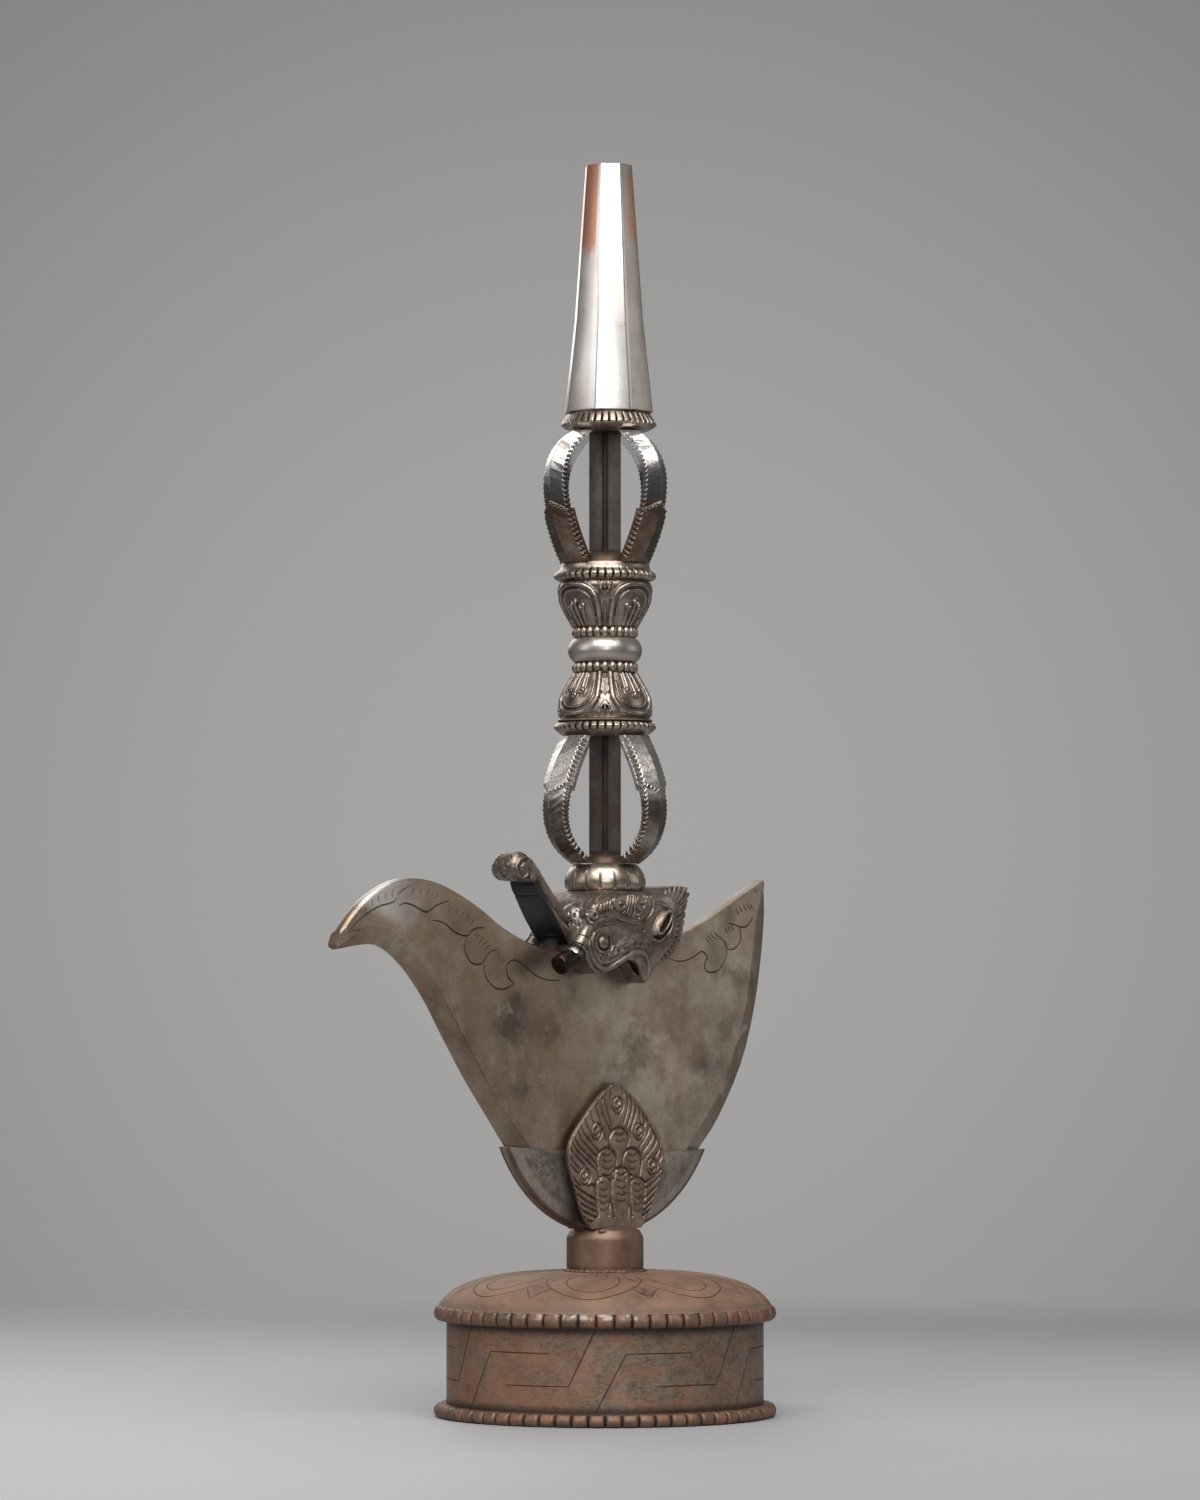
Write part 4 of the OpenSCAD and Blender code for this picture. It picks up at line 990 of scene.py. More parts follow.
def feather_leaf(node, side):
    """A peacock-feather leaf: small round feathers raised in its middle, barbs, eyes and outlines cut in."""
    leaf = fused(copy_of(node, node + "_chased"), 0.2, 1)
    face = low(node).y if side == FRONT else high(node).y
    middle = (low(node).y + high(node).y) / 2

    def outer(p):
        return (p.y - middle) * side > 0

    def flat(points, steps=5):
        return drawn(points, face, steps)

    for x, top, half, shoulder, foot in LEAF_FEATHERS:
        chase(leaf, [flat([(x, top - half * 0.95), (x, foot + half * 0.5)])], half * 1.02, -0.2, outer, 4)
    modify(leaf, "SMOOTH", factor=0.5, iterations=2)
    outlines, crescents, rings = [], [], []
    for x, top, half, shoulder, foot in LEAF_FEATHERS:
        arch = [(x - half * 0.72, foot), (x - half * 0.98, across(foot, shoulder, 0.5)), (x - half, shoulder),
                (x - half * 0.62, across(shoulder, top, 0.7)), (x, top)]
        outlines.append(flat(arch + [(2 * x - px, pz) for px, pz in reversed(arch[:-1])]))
        for k in range(5 if top < 60 else 4):
            z = top - 1.7 - 1.6 * k
            if z > foot + 0.6:
                crescents.append(flat([(x - half * 0.42, z + 0.22), (x, z - 0.2),
                                       (x + half * 0.42, z + 0.22)]))
    for x, z in LEAF_EYES:
        rings.append(flat([(x + 1.7 * math.sin(a), z + 1.9 * math.cos(a) * (1.08 if a > 1 else 1))
                           for a in [math.radians(30 * k + 8) for k in range(12)]], 3))
        rings.append(flat([(x - 0.9, z + 0.5), (x - 0.8, z - 0.6), (x, z - 1.1), (x + 0.8, z - 0.5)], 3))
        chase(leaf, [flat([(x - 0.1, z + 0.75), (x + 0.1, z + 0.6)])], 0.62, 0.5, outer)
    for lines, width, depth in (([flat(line) for line in LEAF_BARBS], 0.32, 0.42), (outlines, 0.38, 0.52),
                                (crescents, 0.32, 0.44), (rings, 0.32, 0.44)):
        chase(leaf, lines, width, depth, outer)
    settle(leaf, node, FEATHER_IRON, 60)


# The blade's scrolls and hatching in mm across and up, cut into both faces

SCROLLS = [
    [(-85.8, 113.2), (-81.7, 116.8), (-75.7, 120.1), (-70.3, 121.5), (-68.5, 123.7), (-65.2, 125.3)],
    [(-68.8, 120.6), (-66.7, 121.2), (-64.3, 120.7), (-61.3, 119.5), (-59.5, 119.3), (-56.4, 121),
     (-52.8, 121.9)],
    [(-58.3, 117.4), (-54.6, 116.8), (-50.9, 114.6), (-47.2, 113.8), (-45.4, 115.1), (-43.6, 115.7),
     (-41.4, 115.7)],
    [(-47.2, 113.5), (-47.9, 111.5), (-47.5, 109.8), (-46, 107.8), (-44.2, 107.2), (-42.2, 107.5),
     (-40.8, 109.1), (-39.2, 110.3), (-37.4, 110.7)],
    [(-41.4, 107.6), (-41.6, 105.8), (-40.8, 104), (-38.6, 102), (-36.1, 101.4), (-33.9, 101.7),
     (-32, 102.7), (-33.6, 104), (-34.2, 105.4), (-34.2, 106.7), (-33.6, 107.6), (-32.4, 108.1),
     (-31.1, 108.2), (-28.9, 107.2), (-26.7, 105.8), (-24.2, 104.5), (-21.7, 103.8), (-19.1, 103.5),
     (-16.7, 103.6)],
    [(17, 110.6), (21.1, 108.7), (25.1, 108.3), (29.2, 109.5), (31.5, 110.7), (33, 110), (33.5, 109.1),
     (32.8, 108.1), (32.7, 107.1), (33.2, 106), (35, 105.6), (37.3, 106.1), (39.1, 107.6), (39.9, 109),
     (40.4, 110.4), (40.1, 112.2), (39.1, 113.6), (36.7, 114.7)],
    [(40.4, 111.6), (41.4, 111.2), (42.6, 111.3), (44.1, 112), (44.9, 112.9), (45.4, 114.3), (45.2, 115.7),
     (44.7, 116.7), (43.2, 117.3), (41.1, 117.5)],
    [(44.6, 116.9), (45.8, 116.7), (47.3, 116.9), (48.8, 118), (49.7, 119.2)]]
HATCHES = [(-79, 120.1, -79.3, 119), (-77, 121.9, -77, 120.5), (-75, 122.8, -75.1, 121.2),
           (-72.7, 123.6, -73, 121.8), (-70.5, 124.4, -70.9, 122.4), (-64, 124.7, -64.8, 123.2),
           (-61.5, 124.5, -62.1, 123.2), (-59.1, 124.2, -59.8, 122.9), (-56.3, 123.7, -57.3, 122),
           (-52.2, 120.5, -53.1, 119.1), (-50.1, 120.1, -50.8, 118.6), (-48.1, 119.3, -49.1, 117.9),
           (-46.1, 118.7, -47.4, 117), (-44.4, 117.8, -45.9, 116.2), (-43.6, 114.9, -44.7, 113.8),
           (-42.6, 114.3, -44.2, 112.7), (-41.6, 113.6, -43.4, 111.8), (-40.3, 112.6, -42.4, 111.1),
           (-39.2, 111.6, -41.4, 110.5), (-36, 109.5, -37, 108), (-35.2, 109, -36.2, 107.5),
           (-34.5, 108.7, -35.5, 107.2), (-36.7, 109.8, -37.3, 108.7), (33, 114, 34.7, 112.8),
           (33.8, 114.6, 35.9, 113.2), (34.7, 115.2, 36.9, 113.7), (36.2, 115.4, 37.3, 114.6),
           (40, 116.5, 40.8, 115.3), (41, 116.9, 42, 115.5), (42.1, 116.9, 43.1, 115.8),
           (43.8, 121.4, 45, 119.7), (45, 122, 46.2, 120.3), (46.3, 122.5, 47.7, 120.7),
           (47.6, 122.7, 49, 121), (48.8, 122.6, 49.8, 121.2), (49.7, 126.1, 50.9, 125.3),
           (50.4, 126.5, 51.6, 125.6)]
# The line where the ground edge begins, left and right, in mm across and up
GROUND = [[(-88.2, 111.3), (-84.7, 114.1), (-80.6, 115), (-75.8, 115.2), (-68.6, 112.7), (-61.4, 107),
           (-54.1, 98.6), (-47.3, 89.1), (-39.9, 79), (-31.2, 68.8), (-22, 59.4)],
          [(50.6, 116), (50.1, 110.5), (48.3, 99.5), (45.4, 91), (42.4, 85.3), (38.9, 78.5), (34.3, 70.9),
           (25, 61.6)]]


def blade():
    """The forged blade: soft worn edges, a broad rounded back to its hook, and scrolls cut in both faces."""
    piece = copy_of("blade", "blade_forged")
    ground = sorted((x * MM, z * MM) for side in GROUND for x, z in side)
    weights = piece.data.attributes.new("bevel_weight_edge", "FLOAT", "EDGE")
    for i, edge in enumerate(piece.data.edges):
        a, b = [piece.data.vertices[k].co for k in edge.vertices]
        middle = (a + b) / 2
        if (min(abs(a.y), abs(b.y)) > 1.5 * MM and a.y * b.y > 0
                and middle.z > level(ground, middle.x) + 2 * MM):
            reach = -middle.x / MM
            wide = level([(-60, 0.3), (30, 0.3), (62, 0.75), (76, 1.45), (86, 1.35), (90, 0.6)], reach)
            weights.data[i].value = wide / 1.5
    modify(piece, "BEVEL", width=1.5 * MM, segments=8, limit_method="WEIGHT", use_clamp_overlap=False)
    for side in (FRONT, BACK):
        y = side * high("blade").y
        engrave(piece, [drawn(line, y, 4) for line in SCROLLS], 0.27)
        for x0, z0, x1, z1 in HATCHES:
            bend = 0.12 * (z1 - z0), -0.12 * (x1 - x0)
            line = [(x0, z0), ((x0 + x1) / 2 + bend[0], (z0 + z1) / 2 + bend[1]), (x1, z1)]
            engrave(piece, [drawn(line, y, 2)], 0.17, 0.3)
        engrave(piece, [drawn(line, y + 0.02 * MM * side, 4) for line in GROUND], 0.16, 0.7)
    settle(piece, "blade", BLADE_STEEL, 13)


# The handle: collar, cages, lotuses, beads, bulb and spike

BORE = 3.4 * MM  # the hole through the handle's pieces, where the tang runs


def collar():
    """The turned collar with 17 slots filed down its side; one slot stands just left of the middle."""
    z0, h = low("fluted_collar").z, high("fluted_collar").z - low("fluted_collar").z
    r = radius_of("fluted_collar")
    outside = [(0.87, 0), (0.93, 0.03), (0.985, 0.16), (1, 0.32), (0.985, 0.47), (0.945, 0.63), (0.88, 0.8),
               (0.81, 0.92), (0.75, 0.98), (0.6, 1)]
    profile = [(3 * MM, z0), *[(r * a, z0 + h * b) for a, b in outside], (3 * MM, z0 + h)]
    piece = lathe("collar_turned", profile, 17 * 12, closed=True)
    slots = [rod("slot", around((r * 0.985, 0, z0 - 0.2 * MM), turn),
                 around((r * 0.955, 0, z0 + h * 0.74), turn), 0.46, 0.4, 10)
             for turn in [FACING - 6.9 + 360 / 17 * k for k in range(17)]]
    cut(piece, joined(slots, "slots"))
    settle(piece, "fluted_collar", SILVERED, 45)


def toothed_ring(node, profile, notches, depth, test):
    """A turned ring with filed teeth; the profile is in mm out and up from its lower side."""
    z0 = low(node).z
    middle = (low(node) + high(node)) / 2
    grow = (high(node).y - middle.y) / max(r for r, up in profile)
    cuts = (depth, depth * 0.45, depth * 0.05, 0, 0, 0, 0, depth * 0.05)
    outline = [(r * grow, z0 + up * MM) for r, up in [(4, 0.02), *profile, (4, profile[-1][1])]]
    piece = lathe(node + "_filed", outline, notches * len(cuts), closed=True)
    notched(piece, notches, cuts, lambda p: test(p.xy.length / grow, (p.z - z0) / MM))
    piece.location = (middle.x, middle.y, 0)
    settle(piece, node, SILVERED, 40)


def lotus(node, up):
    """A lotus cup with four rimmed petals, a pierced tongue in each and a small leaf between them."""
    z0, z1 = low(node).z, high(node).z
    foot, rim = (z0, z1) if up else (z1, z0)
    size = (z1 - z0) / 11
    table = [(0, 7), (0.15, 7.9), (0.3, 8.9), (0.54, 10.25), (0.72, 10.75), (0.9, 10.95), (0.96, 10.7),
             (1, 10.4)]

    def on_cup(angle, share, out=0.0):
        return around(((level(table, share) + out) * size, 0, across(foot, rim, share)), angle)

    wall = [((level(table, k / 16)) * size, across(foot, rim, k / 16)) for k in range(17)]
    cup = lathe(node + "_chased", [(BORE, foot), *wall, (BORE, rim)], 120, closed=True)
    border = [(35, 0.01), (35.5, 0.25), (35, 0.45), (34, 0.58), (30, 0.7), (24, 0.8), (13.5, 0.88), (0, 0.9)]
    whole = border + [(-a, share) for a, share in reversed(border[:-1])]
    rims = [[on_cup(90 * k + a, share, 0.25) for a, share in whole] for k in range(4)]
    inner = [[on_cup(90 * k + a * 0.78, share * 0.86, 0.1) for a, share in whole[1:-1]] for k in range(4)]
    ribs = [[on_cup(90 * k + 45 + a, share, 0.05) for share in (0.02, 0.2, 0.4, 0.52 - abs(a) * 0.01)]
            for k in range(4) for a in ((0,) if up else (-4, 0, 4))]
    leaves = [[on_cup(90 * k + 45, 0.62, 0.1), on_cup(90 * k + 45 + a * 0.6, 0.8, 0.25),
               on_cup(90 * k + 45 + a, 0.97, 0.1)] for k in range(4) for a in (-8, 0, 8)]
    bars = [[on_cup(90 * k + a * 0.8, 0.02), on_cup(90 * k + a * 0.9, 0.2, 0.2),
             on_cup(90 * k + a, top, 0.25)]
            for k in range(4) for a, top in ((-11, 0.4), (0, 0.48), (11, 0.4))]
    knobs = [ball("knob", on_cup(90 * k + a, top, 0.1), (0.85,) * 3)
             for k in range(4) for a, top in ((-11, 0.42), (0, 0.51), (11, 0.42))]
    wires = [wire("line", [curve_points(line, 4) for line in lines], radius, 2, taper)
             for lines, radius, taper in ((rims, 0.68, 1), (inner, 0.26, 1), (ribs, 0.3, 0.4),
                                          (leaves, 0.34, 0.5), (bars, 0.46, 1))]
    cup = fused(joined([cup, *wires, *knobs], node + "_chased"), 0.19, 2)
    holes = [[on_cup(90 * k + a, share, 0.9), on_cup(90 * k + a, share + 0.01, 0.9)]
             for k in range(4) for a, share in ((0, 0.51), (-11, 0.42), (11, 0.42))]
    chase(cup, holes, 0.55, 0.6)
    veins = [[on_cup(90 * k + 45 + side * 1.5, share, 0.3), on_cup(90 * k + 45 + side * 6, share + 0.08, 0.3)]
             for k in range(4) for share in (0.76, 0.84) for side in (-1, 1)]
    chase(cup, veins, 0.3, 0.25)
    settle(cup, node, LOTUS_SILVER, 60)


def bead_ring(node):
    """A ring of 24 beads cast in one piece."""
    z0, z1, r = low(node).z, high(node).z, radius_of(node)
    core = lathe(node + "_cast", [(BORE, z0), (r - 1.3 * MM, z0), (r - 1.05 * MM, (z0 + z1) / 2),
                                  (r - 1.3 * MM, z1), (BORE, z1)], 96, closed=True)
    beads = [ball("bead", around((r - 0.95 * MM, 0, (z0 + z1) / 2), 15 * k), (0.95, 0.98, (z1 - z0) / 2 / MM),
                  (0, 0, math.radians(15 * k))) for k in range(24)]
    settle(fused(joined([core, *beads], node + "_cast"), 0.17, 1), node, SILVERED, 60)


def bulb():
    """The turned bulb at the waist of the grip."""
    z0, z1, r = low("grip_bulb").z, high("grip_bulb").z, radius_of("grip_bulb")
    side = [(0.8, 0), (0.86, 0.04), (0.95, 0.2), (0.995, 0.38), (1, 0.5), (0.985, 0.65), (0.93, 0.84),
            (0.85, 0.96), (0.8, 1)]
    outline = curve_points([(r * a, across(z0, z1, b), 0) for a, b in side], 3)
    piece = lathe("bulb_turned", [(BORE, z0), *[(p.x, p.y) for p in outline], (BORE, z1)], 144,
                  closed=True)
    settle(piece, "grip_bulb", BULB_SILVER, 60)


# A prong's side edges, in mm out from the axis and in shares of its cage's height
GUIDE = [(10.3, 0), (18.45, 0.41), (21.45, 0.78), (8.4, 1)]
SHEATH = 14.4, 2.4, 0.45  # the sheath's height, the height of its pointed end and its thickness, in mm
NICKS, NICK_R, END_NICKS, END_NICK_R = 27, 0.57, 5, 0.42


def heading(node):
    """The way a prong faces, in degrees about the upright axis."""
    middle = (low(node) + high(node)) / 2
    return round(math.degrees(math.atan2(middle.y, middle.x)) / 90) * 90


def prong(node, height, foot, up):
    """One prong, nicked along both of its side edges and along the end of its sheath; its ridge faces +X."""
    piece = copy_of(node, node + "_filed")
    turn = heading(node)
    path = bow(*[(r * MM, share * height) for r, share in GUIDE], 200)
    length, sheath_h, point, thick = height, *[v * MM for v in SHEATH]

    def spot(along, out, aside):
        """A point beside the guide curve, by its height above the foot, and the way out from it."""
        k = min(range(1, 200), key=lambda i: abs(path[i][1] - along))
        tangent = (Vector(path[k + 1]) - Vector(path[k - 1])).normalized()
        away = Vector((tangent.y, 0, -tangent.x * up))
        return Vector((path[k][0], aside, foot + path[k][1] * up)) + away * out, away

    nicks = []
    for k in range(NICKS):
        along = length * (0.04 + 0.92 * k / (NICKS - 1))
        t = along / length
        covered = along < sheath_h - point
        half = (across(7.6, 6.2, max(0, 2 * t - 1) ** 2) / 2) * MM + (thick if covered else 0)
        for aside in (-1, 1):
            middle, away = spot(along, thick if covered else 0, (half - 0.05 * MM) * aside)
            lean = (away * 0.97 - Vector((0, 0.25 * aside, 0))) * 1.3 * MM
            nicks.append(rod("nick", middle - lean, middle + lean, NICK_R, NICK_R, 4))
    for side in (1, -1):
        for k in range(END_NICKS):
            share = (k + 0.6) / END_NICKS
            middle, away = spot(sheath_h - point * share, across(1.7, 0, share) * MM + thick,
                                side * share * 3.7 * MM)
            nicks.append(rod("nick", middle - away * 0.3 * MM, middle + away * MM, END_NICK_R, END_NICK_R, 4))
    nicks = joined(nicks, "nicks")
    nicks.rotation_euler = (0, 0, math.radians(turn))
    cut(piece, placed(nicks))
    return fused(piece, 0.16, 1), turn


def cages():
    """Four prongs for each cage: one is filed and the others are copies of it, each with its own mesh."""
    for cage, up in (("lower", -1), ("upper", 1)):
        node = f"{cage}_prong_1"
        z0, z1 = low(node).z, high(node).z
        first, turn = prong(node, z1 - z0, z0 if up > 0 else z1, up)
        pieces = [first]
        for i in (2, 3, 4):
            work_on(first)
            bpy.ops.object.duplicate()
            pieces.append(named(f"{cage}_prong_{i}_filed"))
            pieces[-1].rotation_euler = (0, 0, math.radians(heading(f"{cage}_prong_{i}") - turn))
        for i, piece in enumerate(pieces):
            settle(piece, f"{cage}_prong_{i + 1}", PRONG_SILVER, 40)


def tang():
    """The square bar, with a low turned boss where it leaves the collar and the upper cage's ring."""
    bar = bevelled(copy_of("tang", "tang_bar"), 0.3, 2, 40)
    bosses = []
    for z, size in ((high("fluted_collar").z, 0.82), (high("upper_cage_ring").z, 1)):
        bosses.append(lathe("boss", [(r * size * MM, z + h * size * MM) for r, h in
                                     ((6.3, -0.4), (6.2, 0.4), (5.6, 1.4), (4.9, 2.2), (3.8, 2.9))], 48))
    settle(joined([bar, *bosses], "tang_bar"), "tang", TANG_IRON)


def spike():
    """The eight-sided spike, with its corners eased."""
    piece = bevelled(copy_of("spike", "spike_ground"), 0.28, 2, 20)
    settle(piece, "spike", SPIKE_SILVER, 30)


cradle()
feather_leaf("front_feather_leaf", FRONT)
feather_leaf("back_feather_leaf", BACK)
blade()
collar()
toothed_ring("lower_cage_ring", [(9.6, 0), (10.6, 0.5), (11.4, 1.15), (12.15, 1.8), (12.3, 2.3), (12, 2.9),
                                 (11.3, 3.25), (10.9, 3.4), (11.3, 3.6), (11.4, 3.9), (10.9, 4.2)], 40, 0.75,
             lambda r, up: r > 11.2 and 1.2 < up < 3.3)
toothed_ring("upper_cage_ring", [(10.8, 0), (11.6, 0.3), (12.2, 0.8), (12.3, 1.3), (12.05, 1.9), (11.3, 2.4),
                                 (10.9, 2.75), (10.8, 3.3), (10.6, 4.2)], 40, 0.75, lambda r, up: r > 11.2)
toothed_ring("spike_ring", [(7.6, 0), (9.3, 0.35), (10.7, 1), (11.4, 1.6), (11.5, 1.9), (11.25, 2.4),
                            (10.75, 3.2), (10.2, 4.1), (9.7, 4.6)], 40, 0.8, lambda r, up: 1.7 < up < 3.9)
lotus("lower_lotus", False)
lotus("upper_lotus", True)
bead_ring("lower_bead_ring")
bead_ring("upper_bead_ring")
bulb()
cages()
tang()
spike()

# The makara: places on it are in mm across and up from the head's top, as seen from the photograph's side
HEAD_TOP = high("makara_head").z
EYE_X, EYE_Z = -9.9, -12.3
EAR_X, EAR_Z = 9.8, -7.5


def from_top(x, y, z):
    """A place from its distances in mm from the middle of the head's top."""
    return Vector((x * MM, y * MM, HEAD_TOP + z * MM))


# The raised lines of the brow and of the lips: each line's radius, then its points
BROW_LINES = [
    (0.55, [(-15.8, -5.7), (-15.1, -7.2), (-13.8, -7.8), (-12, -7.2), (-9.1, -6.3), (-6.5, -6.2),
            (-4.3, -6.7), (-1.4, -7.4), (0.8, -7.6), (3, -7.2), (5.2, -6.1), (6.4, -4.5), (6.6, -2.7),
            (5.6, -1.3)]),
    (0.34, [(-12.5, -6.5), (-10.1, -5.8), (-7.2, -5.7), (-4.3, -6.1), (-1.4, -6.8), (1.2, -7), (3.7, -6.1),
            (5.2, -4.7), (5.5, -3), (4.5, -1.6)]),
    (0.4, [(-15.6, -5.3), (-14.3, -5.1), (-12.9, -5.3), (-12.3, -6.1), (-13.1, -6.8), (-14.1, -6.4),
           (-13.8, -5.8)]),
    (0.36, [(-13, -3.5), (-10.1, -2.5), (-7.6, -1.5), (-4.9, -0.9)]),
    (0.42, [(-4.9, -1), (-6.5, -1.8), (-6.8, -2.9), (-6.1, -4.2), (-4.8, -4.7), (-3.5, -4.1), (-3.4, -3.2),
            (-4.3, -2.9), (-4.9, -3.3)]),
    (0.42, [(2.3, -1), (1.2, -2), (1, -3.3), (1.6, -4.4), (2.7, -4.6), (3.6, -3.8), (3.3, -2.8),
            (2.5, -2.9)]),
    (0.28, [(-10.7, -3.3), (-11.2, -4.3), (-11.2, -5.4)]),
    (0.28, [(-9.7, -3), (-10.2, -4.2), (-10.2, -5.2)]), (0.28, [(-8.7, -2.6), (-9.3, -3.9), (-9.3, -5.1)]),
    (0.28, [(-7.8, -2.4), (-8.3, -3.9), (-8.3, -5)]), (0.28, [(-7.3, -3.7), (-7.5, -4.7), (-7.2, -5.2)]),
    (0.3, [(-1.8, -1), (-2.2, -2.8), (-2.9, -4.6), (-3.8, -5.6)]),
    (0.3, [(-1, -1), (-1.4, -3.1), (-2.1, -4.9), (-2.7, -5.9)]),
    (0.3, [(-0.1, -1), (-0.5, -3.1), (-1.1, -4.9), (-1.6, -6.2)]),
    (0.3, [(0.6, -1.2), (0.3, -3.3), (0.1, -5.1), (-0.4, -6.4)]),
    (0.3, [(3.4, -1.2), (4.2, -2.7), (3.9, -4.3), (2.7, -5.3), (1.3, -5.9)]),
    (0.3, [(4.3, -1.2), (4.9, -2.9), (4.5, -4.5), (3.2, -5.7), (1.7, -6.4)])]
LIP_LINES = [
    (0.8, [(-15.1, -12.4), (-14.5, -15), (-12.9, -17.4), (-10.7, -18.6), (-8.3, -18.4), (-5.1, -17),
           (-2.1, -15.6), (0.8, -14.6), (3, -14.9), (4.5, -16.2), (5.1, -17.8), (4.8, -19.8),
           (3.9, -21.6)]),
    (0.36, [(-13.6, -12.9), (-12.7, -15.4), (-11, -17), (-8.7, -17.1), (-5.4, -15.9), (-2.3, -14.4),
            (0.8, -13.3), (3.7, -13.6), (5.6, -15.3)])]
EAR_FOLD = [(5.9, -3.4), (8.3, -2.9), (10.8, -3.6), (12.7, -5), (13.2, -7), (12.7, -9), (11.2, -10.6),
            (8.6, -11.9), (6.6, -11.6)]
# A groove over the eye, and where the head is pitted
SOCKET = [(-12.4, -9.4), (-9.6, -7.9), (-6, -7.7), (-2.6, -8.9), (0.6, -9.9), (3.6, -9.4)]
CHEEK_PITS = [(-9.1, -15.5), (-7.8, -13.9), (-6.9, -15.2), (-6.2, -13.7), (-4.9, -14.4), (-3.8, -13.3),
              (-2.9, -12.9), (-2.1, -12.6), (-0.9, -12.6), (0.4, -12.5), (-2.7, -13.8), (-1.4, -13.9),
              (0.1, -13.1), (-1.4, -11.1), (2.4, -12.8), (-5.1, -15.2), (-9.1, -16.2), (-7.8, -16.6),
              (-10.1, -15.5), (-10.9, -16.3)]
CROWN_PITS = [(-21.5, -5.4), (-19.2, -4.9), (-19.9, -5.8), (-21.1, -7.4), (-18.1, -5.3), (-19.9, -8),
              (-21.9, -6.8), (-18.5, -8.5), (-20.6, -1.3), (-18.5, -1.5), (-17.4, -2.6), (-15.6, -2.2),
              (-19.9, -2.5), (-13.8, -1.4), (-17, -4.2), (-16.4, -6), (-17.6, -6.9), (-15.2, -3.6),
              (-21, -3.8), (-12, -1.2), (-9.6, -0.9)]


def on_head(head, x, z, side, out=0.0):
    """The point of the head that the photograph's camera (or its mirror image) sees at a place."""
    ahead = Vector((DIAGONAL, -DIAGONAL * side, 0))
    back = ahead * 0.05
    start = from_top(x, side * 9.6, z) - back
    hit, place, normal, face = head.ray_cast(start, ahead)
    return place + normal * out * MM if hit else start + back


def makara_head():
    """The head is cast from the solid with raised brows, lids, lips and ears, hollowed and then chased."""
    tilt = (0, math.radians(40), 0)
    head = fused(copy_of("makara_head", "head_cast"), 0.32, 5)
    parts = []
    for side in (FRONT, BACK):
        y = side * radius_of("makara_head")
        for lines, out in ((BROW_LINES, 0.22), (LIP_LINES, 0.1)):
            for radius, line in lines:
                places = [on_head(head, x, z, side, out) for x, z in line]
                parts.append(wire("line", [curve_points(places, 4)], radius, 2, 0.6))
        parts.append(wire("line", [drawn(EAR_FOLD, y * 0.93, 4, HEAD_TOP)], 0.5, 2, 0.7))
        lid = [from_top(EYE_X + 3.7 * math.cos(a), side * 9.4, EYE_Z + 3.5 * math.sin(a))
               for a in [math.radians(t) for t in range(-25, 206, 15)]]
        parts.append(wire("lid", [lid], 0.62, 2, 0.5))
        parts.append(ball("ear", (9.3 * MM, y * 0.86, HEAD_TOP - 7.6 * MM), (2.2, 2.3, 4.1), tilt))
        rim = [Vector(((EAR_X + 3.4 * math.sin(a) * 0.65 + 1.25 * math.cos(a) * 0.76) * MM,
                       y * 0.86 + side * 1.55 * MM,
                       HEAD_TOP + (EAR_Z + 3.4 * math.sin(a) * 0.76 - 1.25 * math.cos(a) * 0.65) * MM))
               for a in [math.radians(15 * k) for k in range(25)]]
        parts.append(wire("rim", [rim], 0.4, 2))
        parts.append(ball("cheek", from_top(-3, side * 8.2, -13.2), (6.2, 1.9, 2.1),
                          (0, math.radians(-18), 0)))
        parts.append(ball("snout", from_top(-13.2, side * 3.2, -6.2), (3.4, 3.8, 3.2)))
    hollows = []
    for side in (FRONT, BACK):
        y = side * radius_of("makara_head")
        hollows.append(ball("hollow", (EAR_X * MM, y * 1.1, HEAD_TOP + EAR_Z * MM), (1.0, 3.4, 3.0), tilt))
        throat = on_head(head, -0.4, -17.9, side)
        hollows.append(ball("throat", throat, (4.6, 1.1, 2.1), (0, math.radians(14), 0)))
    hollows.append(ball("gap", from_top(-5, 0, -25.5), (10.5, 40, 6.1)))
    head = fused(joined([head, *parts], "head_cast"), 0.24, 0)
    cut(head, joined(hollows, "hollows"))
    head = fused(head, 0.218, 1)
    dice = random.Random(8)
    for side in (FRONT, BACK):
        pits = [on_head(head, x, z, side) for x, z in CHEEK_PITS + CROWN_PITS]
        pits += [on_head(head, dice.uniform(-21, -9), dice.uniform(-8, -1), side) for k in range(8)]
        chase(head, [[p, p + Vector((0, 0, 0.05 * MM))] for p in pits], 0.32, 0.34)
        chase(head, [[on_head(head, x, z, side) for x, z in SOCKET]], 0.7, 0.45)
    settle(head, "makara_head", HEAD_IRON, 60)


def eyes():
    """Turned eyeballs, each in a raised ring, with a small pupil."""
    rings = [(2.9, -0.9), (2.9, 0.5), (2.72, 0.85), (2.42, 0.98), (2.12, 0.85), (1.98, 0.5), (1.92, 0.28),
             (1.82, 0.5), (1.66, 0.95), (1.3, 1.35), (0.9, 1.56), (0.72, 1.5), (0.66, 1.62), (0.3, 1.74),
             (0.05, 1.75)]
    for node, side in (("front_eye", FRONT), ("back_eye", BACK)):
        piece = lathe(node + "_turned", [(r * MM, z * MM) for r, z in rings], 64)
        piece.rotation_euler = (math.radians(-90 * side), 0, 0)
        piece.location = from_top(EYE_X, side * 8.7, EYE_Z)
        settle(piece, node, HEAD_IRON)


